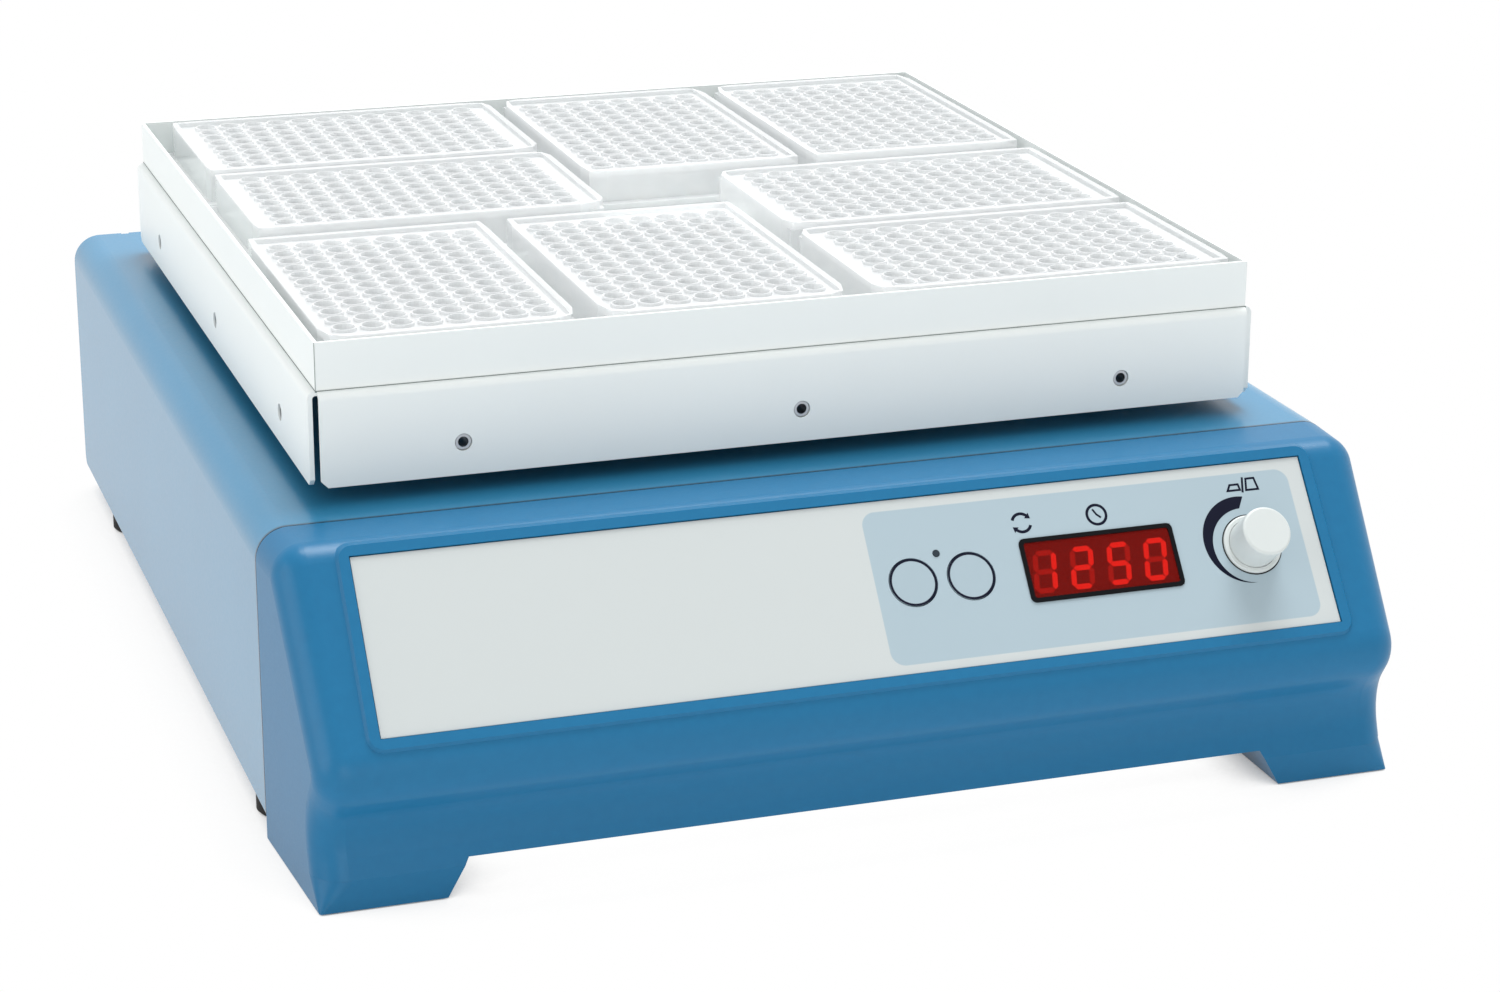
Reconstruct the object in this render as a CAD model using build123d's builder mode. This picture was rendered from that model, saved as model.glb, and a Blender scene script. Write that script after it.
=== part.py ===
from build123d import *
import os
from math import atan2, cos, degrees, hypot, radians, sin, tan

os.makedirs("parts", exist_ok=True)

# Orbital shaker for microplates, in millimetres.
# The origin is on the bench under the middle of the case: X right, Y back, Z up.

# Case shell
case_width = 356.0
case_top = 100.5
case_lift = 7.0
seam_y = -148.0
rear_y = 212.0
cover_gauge = 1.2
cover_bend = 10.0
cover_lip = 20.0
lip_bend = 1.8
seam_gap = 0.3
relief_inset = 20.0
relief_width = 3.0
relief_depth = 1.2
rear_corner_round = 6.0
tab_width = 15.0
tab_height = 14.0
tab_gauge = 2.0
tab_low = 37.0
tab_high = 79.0

# Front moulding: the section runs brow, nose, waist, foot
panel_tilt = 38.8
nose_y = -215.4
nose_z = 42.6
waist_y = -201.5
waist_z = 23.9
brow_radius = 11.0
nose_radius = 13.0
waist_radius = 15.0
flare_tilt = 21.8
moulding_wall = 3.0
side_rake = 3.7
side_round = 10.0
tongue_length = 7.0
tongue_play = 1.0
tongue_gauge = 2.2
tongue_foot = 26.0
tongue_root = 4.0

# Feet of the moulding and the arch between them
flare_foot = 10.0
foot_bottom = 0.5
arch_height = 12.4
foot_wall = 3.2
arch_foot_span = 42.3
arch_roof_span = 49.0
toe_round = 1.0
foot_round = 11.5

# Control panel, measured along and up the sloped face, the controls from the label's right end
label_side = 23.5
label_height = 56.0
label_gauge = 0.8
label_drop = 4.5
label_gap = 0.3
label_sink = 0.6
rim_rise = 1.0
rim_margin = 4.2
rim_round = 6.0
rim_taper = 40.0
display_inset = 74.75
display_y = 0.3
display_width = 50.5
display_height = 20.0
display_round = 2.4
bezel_border = 1.3
bezel_rise = 0.8
bezel_ledge = 0.3
bezel_collar = 4.0
bezel_collar_wall = 1.5
bezel_fit = 0.2
window_gauge = 0.7
window_fit = 0.1
digit_block_width = 46.0
digit_block_height = 18.0
digit_block_depth = 8.0
button_radius = 7.65
button_gap = 0.3
button_proud = 0.1
button_travel = 0.4
button_depth = 2.0
button_stem_radius = 2.0
switch_size = 6.0
switch_height = 3.5
start_inset = 137.8
mode_inset = 118.7
button_y = 0.7
led_inset = 128.4
led_y = 9.2
led_radius = 1.1
led_fit = 0.1
led_proud = 0.2
led_base_radius = 1.9
led_base = 4.5
board_drop = 14.0
board_gauge = 1.6
board_width = 150.0
board_height = 46.0
board_inset = 78.1
board_post_radius = 3.0
board_post_x = 68.0
board_post_y = 18.0
plug_width = 22.0
plug_height = 7.0
plug_depth = 6.0

# Control knob
knob_inset = 23.3
knob_y = 0.5
knob_radius = 8.0
knob_reach = 13.3
knob_root = 3.6
knob_gap = 0.5
knob_travel = 2.5
knob_edge = 0.9
knob_cap = 3.0
shaft_radius = 3.0
shaft_fit = 0.03
plunger_radius = 4.5
plunger_length = 6.4
plunger_gap = 0.5
encoder_size = 13.0
encoder_depth = 7.0

# Base and rear
base_gauge = 1.5
base_flange = 15.0
base_play = 0.3
rear_gauge = 1.4
rear_recess = 2.0
rear_flange = 10.0
rear_play = 0.4
vent_width = 34.0
vent_height = 3.0
vent_pitch = 6.5
vent_rows = 7
vent_x = 88.0
vent_z = 58.0
foot_pad_radius = 9.5
foot_pad_inset = 10.5
foot_pad_front = -127.0
foot_pad_rear = 152.0
foot_pad_edge = 1.0
foot_stem_radius = 4.0
foot_head_radius = 5.4
foot_head = 3.0
stem_fit = 0.3
screw_radius = 1.9
screw_fit = 0.3
screw_head_radius = 3.5
screw_head = 2.3
lip_screw_front = -60.0
lip_screw_rear = 80.0
lip_screw_grip = 4.0
rear_screw_head = 1.6
rear_screw_length = 8.0

# Mains inlet, with a fuse drawer above its socket
inlet_inset = 58.0
inlet_z = 34.0
inlet_wall = 3.0
inlet_flange = 1.6
inlet_wing = 10.0
inlet_lap = 3.0
inlet_depth = 26.0
inlet_fit = 0.3
inlet_screw_radius = 1.5
inlet_screw_head_radius = 2.8
inlet_screw_sink = 1.2
inlet_screw_length = 8.0
socket_width = 24.0
socket_height = 16.5
socket_depth = 16.0
pin_width = 2.0
pin_height = 4.0
pin_length = 14.0
pin_spread = 7.0
pin_rise = 2.5
drawer_height = 6.0
drawer_width = 22.0
drawer_length = 20.0
drawer_fit = 0.3
drawer_notch = 1.5

# Drive: three vertical cranks carried by one deck
platform_y = 24.0
drive_y = 94.0
idler_x = 88.0
idler_y = -26.0
orbit_radius = 0.75
deck_width = 260.0
deck_depth = 241.0
deck_y = 45.5
deck_z = 70.0
deck_gauge = 6.0
deck_round = 12.0
deck_fit = 0.3
pillar_radius = 7.0
pillar_x = 118.0
pillar_front = -62.0
pillar_rear = 153.0
pillar_tap = 16.0
deck_screw_head = 3.0
housing_radius = 18.0
housing_flange_radius = 27.0
housing_flange = 4.0
housing_foot = 60.0
housing_head = 94.0
housing_screw_reach = 22.5
bearing_outer = 14.0
bearing_width = 8.0
bearing_fit = 0.02
journal_radius = 6.0
running_fit = 0.03
bore_relief = 12.0
crank_foot = 22.0
idler_foot = 57.0
collar_radius = 10.0
collar_height = 3.6
collar_gap = 0.4
pin_radius = 5.0
pin_drop = 12.0
idler_pin_play = 0.3
cover_hole_radius = 15.0
pulley_z = 40.5
pulley_height = 14.0
pulley_radius = 30.0
pulley_flange = 1.5
pulley_lip = 2.0
hub_fit = 0.03
belt_gauge = 2.0
belt_height = 10.0
belt_gap = 0.3
weight_z = 26.0
weight_height = 10.0
weight_radius = 36.0
weight_hub = 11.0

# Motor
motor_x = -84.0
motor_y = 118.0
motor_radius = 38.0
motor_height = 27.0
motor_edge = 2.0
motor_boss_radius = 12.0
motor_boss = 3.0
motor_shaft_radius = 4.0
motor_shaft_foot = 16.0
motor_shaft_top = 56.0
motor_pulley_radius = 11.7

# Power supply on the base
psu_width = 110.0
psu_depth = 54.0
psu_x = 70.0
psu_y = -104.0
psu_gauge = 1.6
psu_post = 8.0
psu_post_radius = 3.0
psu_post_inset = 5.0
coil_width = 34.0
coil_depth = 30.0
coil_height = 24.0
coil_x = 38.0
can_radius = 8.0
can_height = 22.0
can_x = 76.0
can_pitch = 20.0
sink_width = 40.0
sink_gauge = 4.0
sink_height = 26.0
sink_x = 100.0
sink_y = -90.0

# Platform: an inverted folded pan on a cast subframe
pan_size = 314.0
pan_gauge = 1.5
platform_clear = 5.4
pan_depth = 30.1
pan_bend = 2.5
pan_corner = 2.95
pan_nick = 2.0
insert_pitch = 109.7
insert_drop = 19.6
insert_hole = 2.75
insert_radius = 2.45
insert_bore = 1.65
insert_sink = 0.5
insert_length = 8.0
insert_flange_radius = 4.0
insert_flange = 0.8
frame_gauge = 4.0
frame_width = 236.0
frame_depth = 196.0
frame_y = 34.0
frame_round = 14.0
rib_width = 6.0
rib_drop = 16.0
boss_radius = 17.0
boss_drop = 26.0
platform_bearing_radius = 13.0
platform_bearing_drop = 24.0
platform_bearing_width = 8.0
platform_bearing_relief = 11.5
pin_headroom = 2.0

# Microplate tray and plates
tray_size = 309.2
tray_gauge = 1.15
tray_height = 15.3
tray_round = 0.6
tray_bend = 1.0
tray_screw_x = 104.0
tray_screw_front = -52.0
tray_screw_rear = 118.0
tray_screw_radius = 2.0
tray_screw_head_radius = 3.8
tray_screw_head = 1.4
plate_length = 127.76
plate_width = 85.48
plate_height = 14.35
plate_skirt = 2.5
plate_step = 2.5
plate_round = 3.2
plate_corner = 5.0
plate_rim = 2.6
plate_deck_drop = 1.6
plate_wall = 1.2
well_pitch = 9.0
wells_long = 12
wells_wide = 8
well_radius = 3.4
well_rim_drop = 0.6
well_floor = 3.2
well_foot = 2.2
plate_gap = 0.4
front_pair_pitch = 88.7
plate_pitch = 86.2
left_pair_shift = 6.2

# Edges are told apart by their lengths and heights, with this slack
pick_room = 0.05

# Places worked out from the sizes above
half_width = case_width / 2
label_width = case_width - 2 * label_side
label_end = label_width / 2
start_x = label_end - start_inset
mode_x = label_end - mode_inset
led_x = label_end - led_inset
display_x = label_end - display_inset
board_x = label_end - board_inset
knob_x = label_end - knob_inset
arch_half_bottom = half_width - arch_foot_span
arch_half_top = half_width - arch_roof_span
relief_x = half_width - relief_inset
foot_pad_x = half_width - foot_pad_inset
inlet_x = inlet_inset - half_width
inner_half = half_width - cover_gauge
inner_top = case_top - cover_gauge
tilt = radians(panel_tilt)
brow_y = nose_y + (case_top - nose_z) * tan(tilt)
flare = tan(radians(flare_tilt))
flare_y = waist_y - (waist_z - flare_foot) * flare
side_slope = side_rake / (seam_y - flare_y)
base_bottom = case_lift + cover_gauge
base_top = base_bottom + base_gauge
base_front = seam_y + tongue_length + tongue_play
rear_panel_y = rear_y - rear_recess
tab_y = rear_panel_y - rear_gauge
panel_down = label_drop + label_height / 2
panel_y = brow_y - panel_down * sin(tilt)
panel_z = case_top - panel_down * cos(tilt)
label_face = rim_rise - label_sink
label_bed = label_face - label_gauge
button_face = label_face + button_proud
button_well = button_face - button_depth - button_travel - button_gap
bezel_bed = label_bed + bezel_ledge
drawer_z = inlet_z + socket_height / 2 + inlet_wall + drawer_fit + drawer_height / 2
inlet_bottom = inlet_z - socket_height / 2 - inlet_wall
inlet_top = drawer_z + drawer_height / 2 + drawer_fit + inlet_wall
inlet_mid = (inlet_bottom + inlet_top) / 2
inlet_width = socket_width + 2 * inlet_wall
inlet_height = inlet_top - inlet_bottom
inlet_face = rear_panel_y + inlet_flange
inlet_screw_x = inlet_width / 2 + inlet_wing / 2
deck_top = deck_z + deck_gauge
pins = [(0, drive_y), (-idler_x, idler_y), (idler_x, idler_y)]
cranks = [(x - orbit_radius, y) for x, y in pins]
pillars = [(x, y) for x in (-pillar_x, pillar_x) for y in (pillar_front, pillar_rear)]
foot_places = [(x, y) for y in (foot_pad_front, foot_pad_rear) for x in (-foot_pad_x, foot_pad_x)]
lip_screws = [(x, y) for y in (lip_screw_front, lip_screw_rear) for x in (-foot_pad_x, foot_pad_x)]
rear_screw_x = inner_half - tab_width / 2
rear_screws = [(x, z) for x in (-rear_screw_x, rear_screw_x) for z in (tab_low, tab_high)]
collar_z = housing_head + collar_gap
pin_foot = collar_z + collar_height
pan_foot = case_top + platform_clear
pan_top = pan_foot + pan_depth
pan_underside = pan_top - pan_gauge
insert_z = pan_top - insert_drop
pin_top = pan_top - pin_drop
rib_foot = pan_top - rib_drop
boss_foot = pan_top - boss_drop
platform_bearing_z = pan_top - platform_bearing_drop
frame_foot = pan_underside - frame_gauge
tray_floor = pan_top + tray_gauge
tray_top = pan_top + tray_height
tray_inner = tray_size / 2 - tray_gauge
tray_screws_at = [
    (x, y) for x in (-tray_screw_x, tray_screw_x) for y in (tray_screw_front, tray_screw_rear)
]


def panel_plane(rise=0.0):
    """The sloped face of the moulding, centred on the label: x right, y up the slope."""
    outward = (0, -cos(tilt), sin(tilt))
    face = Plane(origin=(0, panel_y, panel_z), x_dir=(1, 0, 0), z_dir=outward)
    return face.offset(rise)


# Case cover: a sheet folded over the top, with lips turned in under the sides
# and four welded tabs that the rear panel screws to
with BuildPart() as case_cover:
    with BuildSketch(Plane.XZ.offset(-rear_y)):
        with BuildLine():
            FilletPolyline(
                (-half_width + cover_lip, case_lift),
                (-half_width, case_lift),
                (-half_width, case_top),
                (half_width, case_top),
                (half_width, case_lift),
                (half_width - cover_lip, case_lift),
                radius=[lip_bend, cover_bend, cover_bend, lip_bend],
            )
            offset(amount=cover_gauge, side=Side.RIGHT)
        make_face()
    extrude(amount=rear_y - seam_y)
    with BuildSketch(Plane.XY.offset(case_top - cover_gauge)):
        with Locations(*cranks):
            Circle(cover_hole_radius)
        with Locations((-relief_x, rear_y), (relief_x, rear_y)):
            Rectangle(relief_width, 2 * relief_depth)
    extrude(amount=cover_gauge, mode=Mode.SUBTRACT)
    with BuildSketch(Plane.XY.offset(case_lift)):
        with Locations(*foot_places):
            Circle(foot_stem_radius + stem_fit)
        with Locations(*lip_screws):
            Circle(screw_radius + screw_fit)
    extrude(amount=cover_gauge, mode=Mode.SUBTRACT)
    with BuildSketch(Plane.YZ.offset(-half_width)):
        with Locations((rear_y - rear_corner_round / 2, case_lift + rear_corner_round / 2)):
            Rectangle(rear_corner_round, rear_corner_round)
        with Locations((rear_y - rear_corner_round, case_lift + rear_corner_round)):
            Circle(rear_corner_round, mode=Mode.SUBTRACT)
    extrude(amount=case_width, mode=Mode.SUBTRACT)
    with BuildSketch(Plane.XZ.offset(-tab_y)):
        for tab_x, tab_z in rear_screws:
            with Locations((tab_x, tab_z)):
                Rectangle(tab_width, tab_height)
        with Locations(*rear_screws):
            Circle(screw_radius + screw_fit, mode=Mode.SUBTRACT)
    extrude(amount=tab_gauge)
case_cover.part.label = "case_cover"
export_step(case_cover.part, "parts/case_cover.step")


def moulding_section(back, bottom):
    """Side section of the front moulding: brow, nose, waist, flare and foot."""
    with BuildSketch() as section:
        with BuildLine():
            FilletPolyline(
                (back, case_top),
                (brow_y, case_top),
                (nose_y, nose_z),
                (waist_y, waist_z),
                (flare_y, flare_foot),
                radius=[brow_radius, nose_radius, waist_radius],
            )
            Polyline((flare_y, flare_foot), (flare_y, bottom), (back, bottom), (back, case_top))
        make_face()
    return section.sketch_local


def moulding_plan(inset, back, front):
    """Plan outline of the moulding: its sides draw in towards the front."""
    half_back = half_width - inset - side_slope * (seam_y - back)
    half_front = half_width - inset - side_slope * (seam_y - front)
    with BuildSketch() as plan:
        Polygon(
            (-half_back, back),
            (half_back, back),
            (half_front, front),
            (-half_front, front),
            align=None,
        )
    return plan.sketch_local


def faces_sideways(face):
    """True for a wall whose normal has more of X than of Y and Z."""
    normal = face.normal_at()
    return abs(normal.X) > hypot(normal.Y, normal.Z)


# Hollow of the moulding, open at the back and below; it leaves the feet their
# inner walls and roofs
with BuildPart() as moulding_hollow:
    with BuildSketch(Plane.YZ.offset(-half_width)):
        add(moulding_section(seam_y + 2 * moulding_wall, -2 * moulding_wall))
        offset(amount=-moulding_wall)
    extrude(amount=case_width)
    with BuildSketch():
        add(moulding_plan(moulding_wall, seam_y + 2 * moulding_wall, nose_y))
    extrude(amount=case_top, both=True, mode=Mode.INTERSECT)
    walls = moulding_hollow.faces().filter_by(faces_sideways)
    inner_rounds = walls.edges().filter_by(
        lambda e: e.center().Y < brow_y and e.center().Z > arch_height
    )
    fillet(inner_rounds, radius=side_round - moulding_wall)
    for side in (-1, 1):
        with BuildSketch(Plane.XZ.offset(-seam_y - moulding_wall)):
            Polygon(
                (side * arch_half_bottom, foot_bottom),
                (side * arch_half_top, arch_height),
                (side * arch_half_top, arch_height + moulding_wall),
                (side * half_width, arch_height + moulding_wall),
                (side * half_width, arch_height),
                (side * (arch_half_top + foot_wall), arch_height),
                (side * (arch_half_bottom + foot_wall), foot_bottom),
                align=None,
            )
        extrude(amount=case_width, both=True, mode=Mode.SUBTRACT)

# Front moulding: sloped panel seat, nose, waist and two feet, with a tongue that
# slips inside the cover
with BuildPart() as front_moulding:
    with BuildSketch(Plane.YZ.offset(-half_width)):
        add(moulding_section(seam_y - seam_gap, foot_bottom))
    extrude(amount=case_width)
    split(bisect_by=Plane.XY.offset(flare_foot), keep=Keep.TOP)
    with BuildSketch():
        add(moulding_plan(0, seam_y - seam_gap, nose_y))
    extrude(amount=case_top, mode=Mode.INTERSECT)
    sides = front_moulding.faces().filter_by(faces_sideways)
    rounds = sides.edges().filter_by(
        lambda e: e.center().Y < seam_y - tongue_play and e.center().Z > flare_foot + seam_gap
    )
    fillet(rounds, radius=side_round)
    with BuildSketch(Plane.XY.offset(foot_bottom)):
        add(moulding_plan(0, seam_y - seam_gap, flare_y))
        fillet(vertices().group_by(Axis.Y)[0], radius=toe_round)
    with BuildSketch(Plane.XY.offset(flare_foot)):
        add(moulding_plan(0, seam_y - seam_gap, flare_y))
        fillet(vertices().group_by(Axis.Y)[0], radius=foot_round)
    loft()
    with BuildSketch(panel_plane(-rim_rise)):
        RectangleRounded(
            label_width + 2 * rim_margin + 2 * rim_rise,
            label_height + 2 * rim_margin + 2 * rim_rise,
            rim_round,
        )
    extrude(amount=2 * rim_rise, taper=rim_taper)
    add(moulding_hollow.part, mode=Mode.SUBTRACT)
    with BuildSketch(panel_plane(label_bed)):
        Rectangle(label_width + 2 * label_gap, label_height + 2 * label_gap)
    extrude(amount=rim_rise - label_bed, mode=Mode.SUBTRACT)
    with BuildSketch(panel_plane(button_well)):
        with Locations((start_x, button_y), (mode_x, button_y)):
            Circle(button_radius + button_gap)
    extrude(amount=label_bed - button_well, mode=Mode.SUBTRACT)
    with BuildSketch(panel_plane(label_bed)):
        with Locations((display_x, display_y)):
            Rectangle(display_width - 2 * bezel_border, display_height - 2 * bezel_border)
        with Locations((start_x, button_y), (mode_x, button_y)):
            Circle(button_stem_radius + button_gap)
        with Locations((led_x, led_y)):
            Circle(led_radius + led_fit)
        with Locations((knob_x, knob_y)):
            Circle(knob_radius + knob_gap)
    extrude(amount=-2 * moulding_wall, mode=Mode.SUBTRACT)
    with BuildSketch(panel_plane(-board_drop)):
        with Locations((board_x, 0)):
            with GridLocations(2 * board_post_x, 2 * board_post_y, 2, 2):
                Circle(board_post_radius)
    extrude(amount=board_drop - moulding_wall)
    with BuildSketch(Plane.XZ.offset(-seam_y)):
        Polygon(
            (-arch_half_bottom, foot_bottom),
            (arch_half_bottom, foot_bottom),
            (arch_half_top, arch_height),
            (-arch_half_top, arch_height),
            align=None,
        )
    extrude(amount=-2 * nose_y, both=True, mode=Mode.SUBTRACT)
    with BuildSketch(Plane.XZ.offset(-seam_y - tongue_length)):
        with BuildLine():
            FilletPolyline(
                (-inner_half + seam_gap, tongue_foot),
                (-inner_half + seam_gap, inner_top - seam_gap),
                (inner_half - seam_gap, inner_top - seam_gap),
                (inner_half - seam_gap, tongue_foot),
                radius=cover_bend - cover_gauge - seam_gap,
            )
            offset(amount=tongue_gauge, side=Side.RIGHT)
        make_face()
    extrude(amount=tongue_length + seam_gap + tongue_root)
front_moulding.part.label = "front_moulding"
export_step(front_moulding.part, "parts/front_moulding.step")

# Base plate: a shallow channel lying on the cover's lips
with BuildPart() as base_plate:
    with BuildSketch(Plane.XZ.offset(-tab_y)):
        with BuildLine():
            FilletPolyline(
                (-inner_half + base_play, base_bottom + base_flange),
                (-inner_half + base_play, base_bottom),
                (inner_half - base_play, base_bottom),
                (inner_half - base_play, base_bottom + base_flange),
                radius=2 * base_gauge,
            )
            offset(amount=base_gauge, side=Side.LEFT)
        make_face()
    extrude(amount=tab_y - base_front)
    with BuildSketch(Plane.XY.offset(base_bottom)):
        with Locations(*foot_places):
            Circle(foot_stem_radius + stem_fit)
        with Locations(*lip_screws, *pillars):
            Circle(screw_radius + screw_fit)
    extrude(amount=base_gauge, mode=Mode.SUBTRACT)
base_plate.part.label = "base_plate"
export_step(base_plate.part, "parts/base_plate.step")

# Rear panel: vents each side of the middle and a cut-out for the mains inlet
with BuildPart() as rear_panel:
    with BuildSketch(Plane.XZ.offset(-rear_panel_y)):
        with Locations((0, (base_bottom + inner_top) / 2)):
            Rectangle(2 * (inner_half - rear_play), inner_top - base_bottom - 2 * rear_play)
        fillet(vertices().group_by(Axis.Y)[-1], radius=cover_bend - cover_gauge - rear_play)
        with Locations((inlet_x, inlet_mid)):
            Rectangle(
                inlet_width + 2 * inlet_fit, inlet_height + 2 * inlet_fit, mode=Mode.SUBTRACT
            )
        with Locations((inlet_x - inlet_screw_x, inlet_mid), (inlet_x + inlet_screw_x, inlet_mid)):
            Circle(inlet_screw_radius + inlet_fit, mode=Mode.SUBTRACT)
        with Locations(*rear_screws):
            Circle(screw_radius + screw_fit, mode=Mode.SUBTRACT)
        for bank_x in (-vent_x / 2, vent_x):
            with Locations((bank_x, vent_z)):
                with GridLocations(vent_width, vent_pitch, 1, vent_rows):
                    Rectangle(vent_width, vent_height, mode=Mode.SUBTRACT)
    extrude(amount=rear_gauge)
rear_panel.part.label = "rear_panel"
export_step(rear_panel.part, "parts/rear_panel.step")

# Rubber foot: a pad with a stem pulled up through the lip and the base plate
with BuildPart() as foot_form:
    with BuildSketch():
        Circle(foot_pad_radius)
    extrude(amount=case_lift)
    chamfer(foot_form.edges().sort_by(Axis.Z)[0], length=foot_pad_edge)
    with BuildSketch(Plane.XY.offset(case_lift)):
        Circle(foot_stem_radius)
    extrude(amount=base_top - case_lift)
    with BuildSketch(Plane.XY.offset(base_top)):
        Circle(foot_head_radius)
    extrude(amount=foot_head)
for name, (x, y) in zip(("front_left", "front_right", "rear_left", "rear_right"), foot_places):
    with BuildPart() as rubber_foot:
        with Locations((x, y, 0)):
            add(foot_form.part)
    rubber_foot.part.label = f"rubber_foot_{name}"
    export_step(rubber_foot.part, f"parts/rubber_foot_{name}.step")

# Pan-head screws up through the lips and into the deck pillars
with BuildPart() as base_screws:
    for places, head_top, grip in (
        (lip_screws, case_lift, base_top - case_lift + lip_screw_grip),
        (pillars, base_bottom, base_gauge + pillar_tap),
    ):
        with BuildSketch(Plane.XY.offset(head_top)):
            with Locations(*places):
                Circle(screw_head_radius)
        extrude(amount=-screw_head)
        with BuildSketch(Plane.XY.offset(head_top)):
            with Locations(*places):
                Circle(screw_radius)
        extrude(amount=grip)
base_screws.part.label = "base_screws"
export_step(base_screws.part, "parts/base_screws.step")

# Screws of the rear panel and of the inlet's flange
with BuildPart() as rear_screw_set:
    with BuildSketch(Plane.XZ.offset(-rear_panel_y)):
        with Locations(*rear_screws):
            Circle(screw_head_radius)
    extrude(amount=-rear_screw_head)
    with BuildSketch(Plane.XZ.offset(-rear_panel_y)):
        with Locations(*rear_screws):
            Circle(screw_radius)
    extrude(amount=rear_screw_length)
    for side in (-1, 1):
        with BuildSketch(Plane.XZ.offset(-inlet_face)):
            with Locations((inlet_x + side * inlet_screw_x, inlet_mid)):
                Circle(inlet_screw_head_radius)
        extrude(amount=inlet_screw_sink)
        with BuildSketch(Plane.XZ.offset(-inlet_face + inlet_screw_sink)):
            with Locations((inlet_x + side * inlet_screw_x, inlet_mid)):
                Circle(inlet_screw_radius)
        extrude(amount=inlet_screw_length)
rear_screw_set.part.label = "rear_screws"
export_step(rear_screw_set.part, "parts/rear_screws.step")

# Mains inlet: a moulded body with a socket, three pins and a drawer slot
with BuildPart() as mains_inlet:
    with BuildSketch(Plane.XZ.offset(-rear_panel_y)):
        with Locations((inlet_x, inlet_mid)):
            RectangleRounded(
                inlet_width + 2 * inlet_wing, inlet_height + 2 * inlet_lap, 2 * inlet_lap
            )
    extrude(amount=-inlet_flange)
    with BuildSketch(Plane.XZ.offset(-rear_panel_y)):
        with Locations((inlet_x, inlet_mid)):
            Rectangle(inlet_width, inlet_height)
    extrude(amount=inlet_depth)
    with BuildSketch(Plane.XZ.offset(-inlet_face)):
        with Locations((inlet_x, inlet_z)):
            Rectangle(socket_width, socket_height)
        chamfer(vertices().group_by(Axis.Y)[-1], length=socket_height / 4)
    extrude(amount=socket_depth, mode=Mode.SUBTRACT)
    with BuildSketch(Plane.XZ.offset(-inlet_face)):
        with Locations((inlet_x, drawer_z)):
            Rectangle(drawer_width + 2 * drawer_fit, drawer_height + 2 * drawer_fit)
    extrude(amount=drawer_length + drawer_fit, mode=Mode.SUBTRACT)
    with BuildSketch(Plane.XZ.offset(-inlet_face)):
        with Locations((inlet_x - inlet_screw_x, inlet_mid), (inlet_x + inlet_screw_x, inlet_mid)):
            Circle(inlet_screw_head_radius + inlet_fit)
    extrude(amount=inlet_screw_sink, mode=Mode.SUBTRACT)
    with BuildSketch(Plane.XZ.offset(-inlet_face)):
        with Locations((inlet_x - inlet_screw_x, inlet_mid), (inlet_x + inlet_screw_x, inlet_mid)):
            Circle(inlet_screw_radius + inlet_fit)
    extrude(amount=inlet_flange, mode=Mode.SUBTRACT)
    with BuildSketch(Plane.XZ.offset(-inlet_face + socket_depth)):
        with Locations(
            (inlet_x - pin_spread, inlet_z - pin_rise),
            (inlet_x, inlet_z + pin_rise),
            (inlet_x + pin_spread, inlet_z - pin_rise),
        ):
            Rectangle(pin_width, pin_height)
    extrude(amount=-pin_length)
mains_inlet.part.label = "mains_inlet"
export_step(mains_inlet.part, "parts/mains_inlet.step")

# Fuse drawer: a block with a finger notch, flush with the inlet's flange
with BuildPart() as fuse_drawer:
    with BuildSketch(Plane.XZ.offset(-inlet_face)):
        with Locations((inlet_x, drawer_z)):
            Rectangle(drawer_width, drawer_height)
    extrude(amount=drawer_length)
    with BuildSketch(Plane.XZ.offset(-inlet_face)):
        with Locations((inlet_x, drawer_z - drawer_height / 2)):
            Rectangle(drawer_width / 3, 2 * drawer_notch)
    extrude(amount=drawer_notch, mode=Mode.SUBTRACT)
fuse_drawer.part.label = "fuse_drawer"
export_step(fuse_drawer.part, "parts/fuse_drawer.step")

# Control label, in the recess inside the rim
with BuildPart() as control_label:
    with BuildSketch(panel_plane(label_bed)):
        Rectangle(label_width, label_height)
        with Locations((display_x, display_y)):
            Rectangle(
                display_width + 2 * bezel_fit, display_height + 2 * bezel_fit, mode=Mode.SUBTRACT
            )
        with Locations((start_x, button_y), (mode_x, button_y)):
            Circle(button_radius + button_gap, mode=Mode.SUBTRACT)
        with Locations((led_x, led_y)):
            Circle(led_radius + led_fit, mode=Mode.SUBTRACT)
        with Locations((knob_x, knob_y)):
            Circle(knob_radius + knob_gap, mode=Mode.SUBTRACT)
    extrude(amount=label_gauge)
control_label.part.label = "control_label"
export_step(control_label.part, "parts/control_label.step")

# Display bezel: a black frame with a ledge for the window and a collar behind it
with BuildPart() as display_bezel:
    with BuildSketch(panel_plane(label_bed)):
        with Locations((display_x, display_y)):
            RectangleRounded(display_width, display_height, display_round)
    extrude(amount=bezel_rise - label_bed)
    with BuildSketch(panel_plane(label_bed)):
        with Locations((display_x, display_y)):
            Rectangle(
                display_width - 2 * bezel_border - 2 * bezel_fit,
                display_height - 2 * bezel_border - 2 * bezel_fit,
            )
    extrude(amount=-bezel_collar)
    with BuildSketch(panel_plane(bezel_bed)):
        with Locations((display_x, display_y)):
            Rectangle(display_width - 2 * bezel_border, display_height - 2 * bezel_border)
    extrude(amount=bezel_rise - bezel_bed, mode=Mode.SUBTRACT)
    with BuildSketch(panel_plane(bezel_bed)):
        with Locations((display_x, display_y)):
            Rectangle(
                display_width - 2 * (bezel_border + bezel_fit + bezel_collar_wall),
                display_height - 2 * (bezel_border + bezel_fit + bezel_collar_wall),
            )
    extrude(amount=-bezel_ledge - bezel_collar, mode=Mode.SUBTRACT)
display_bezel.part.label = "display_bezel"
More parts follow.
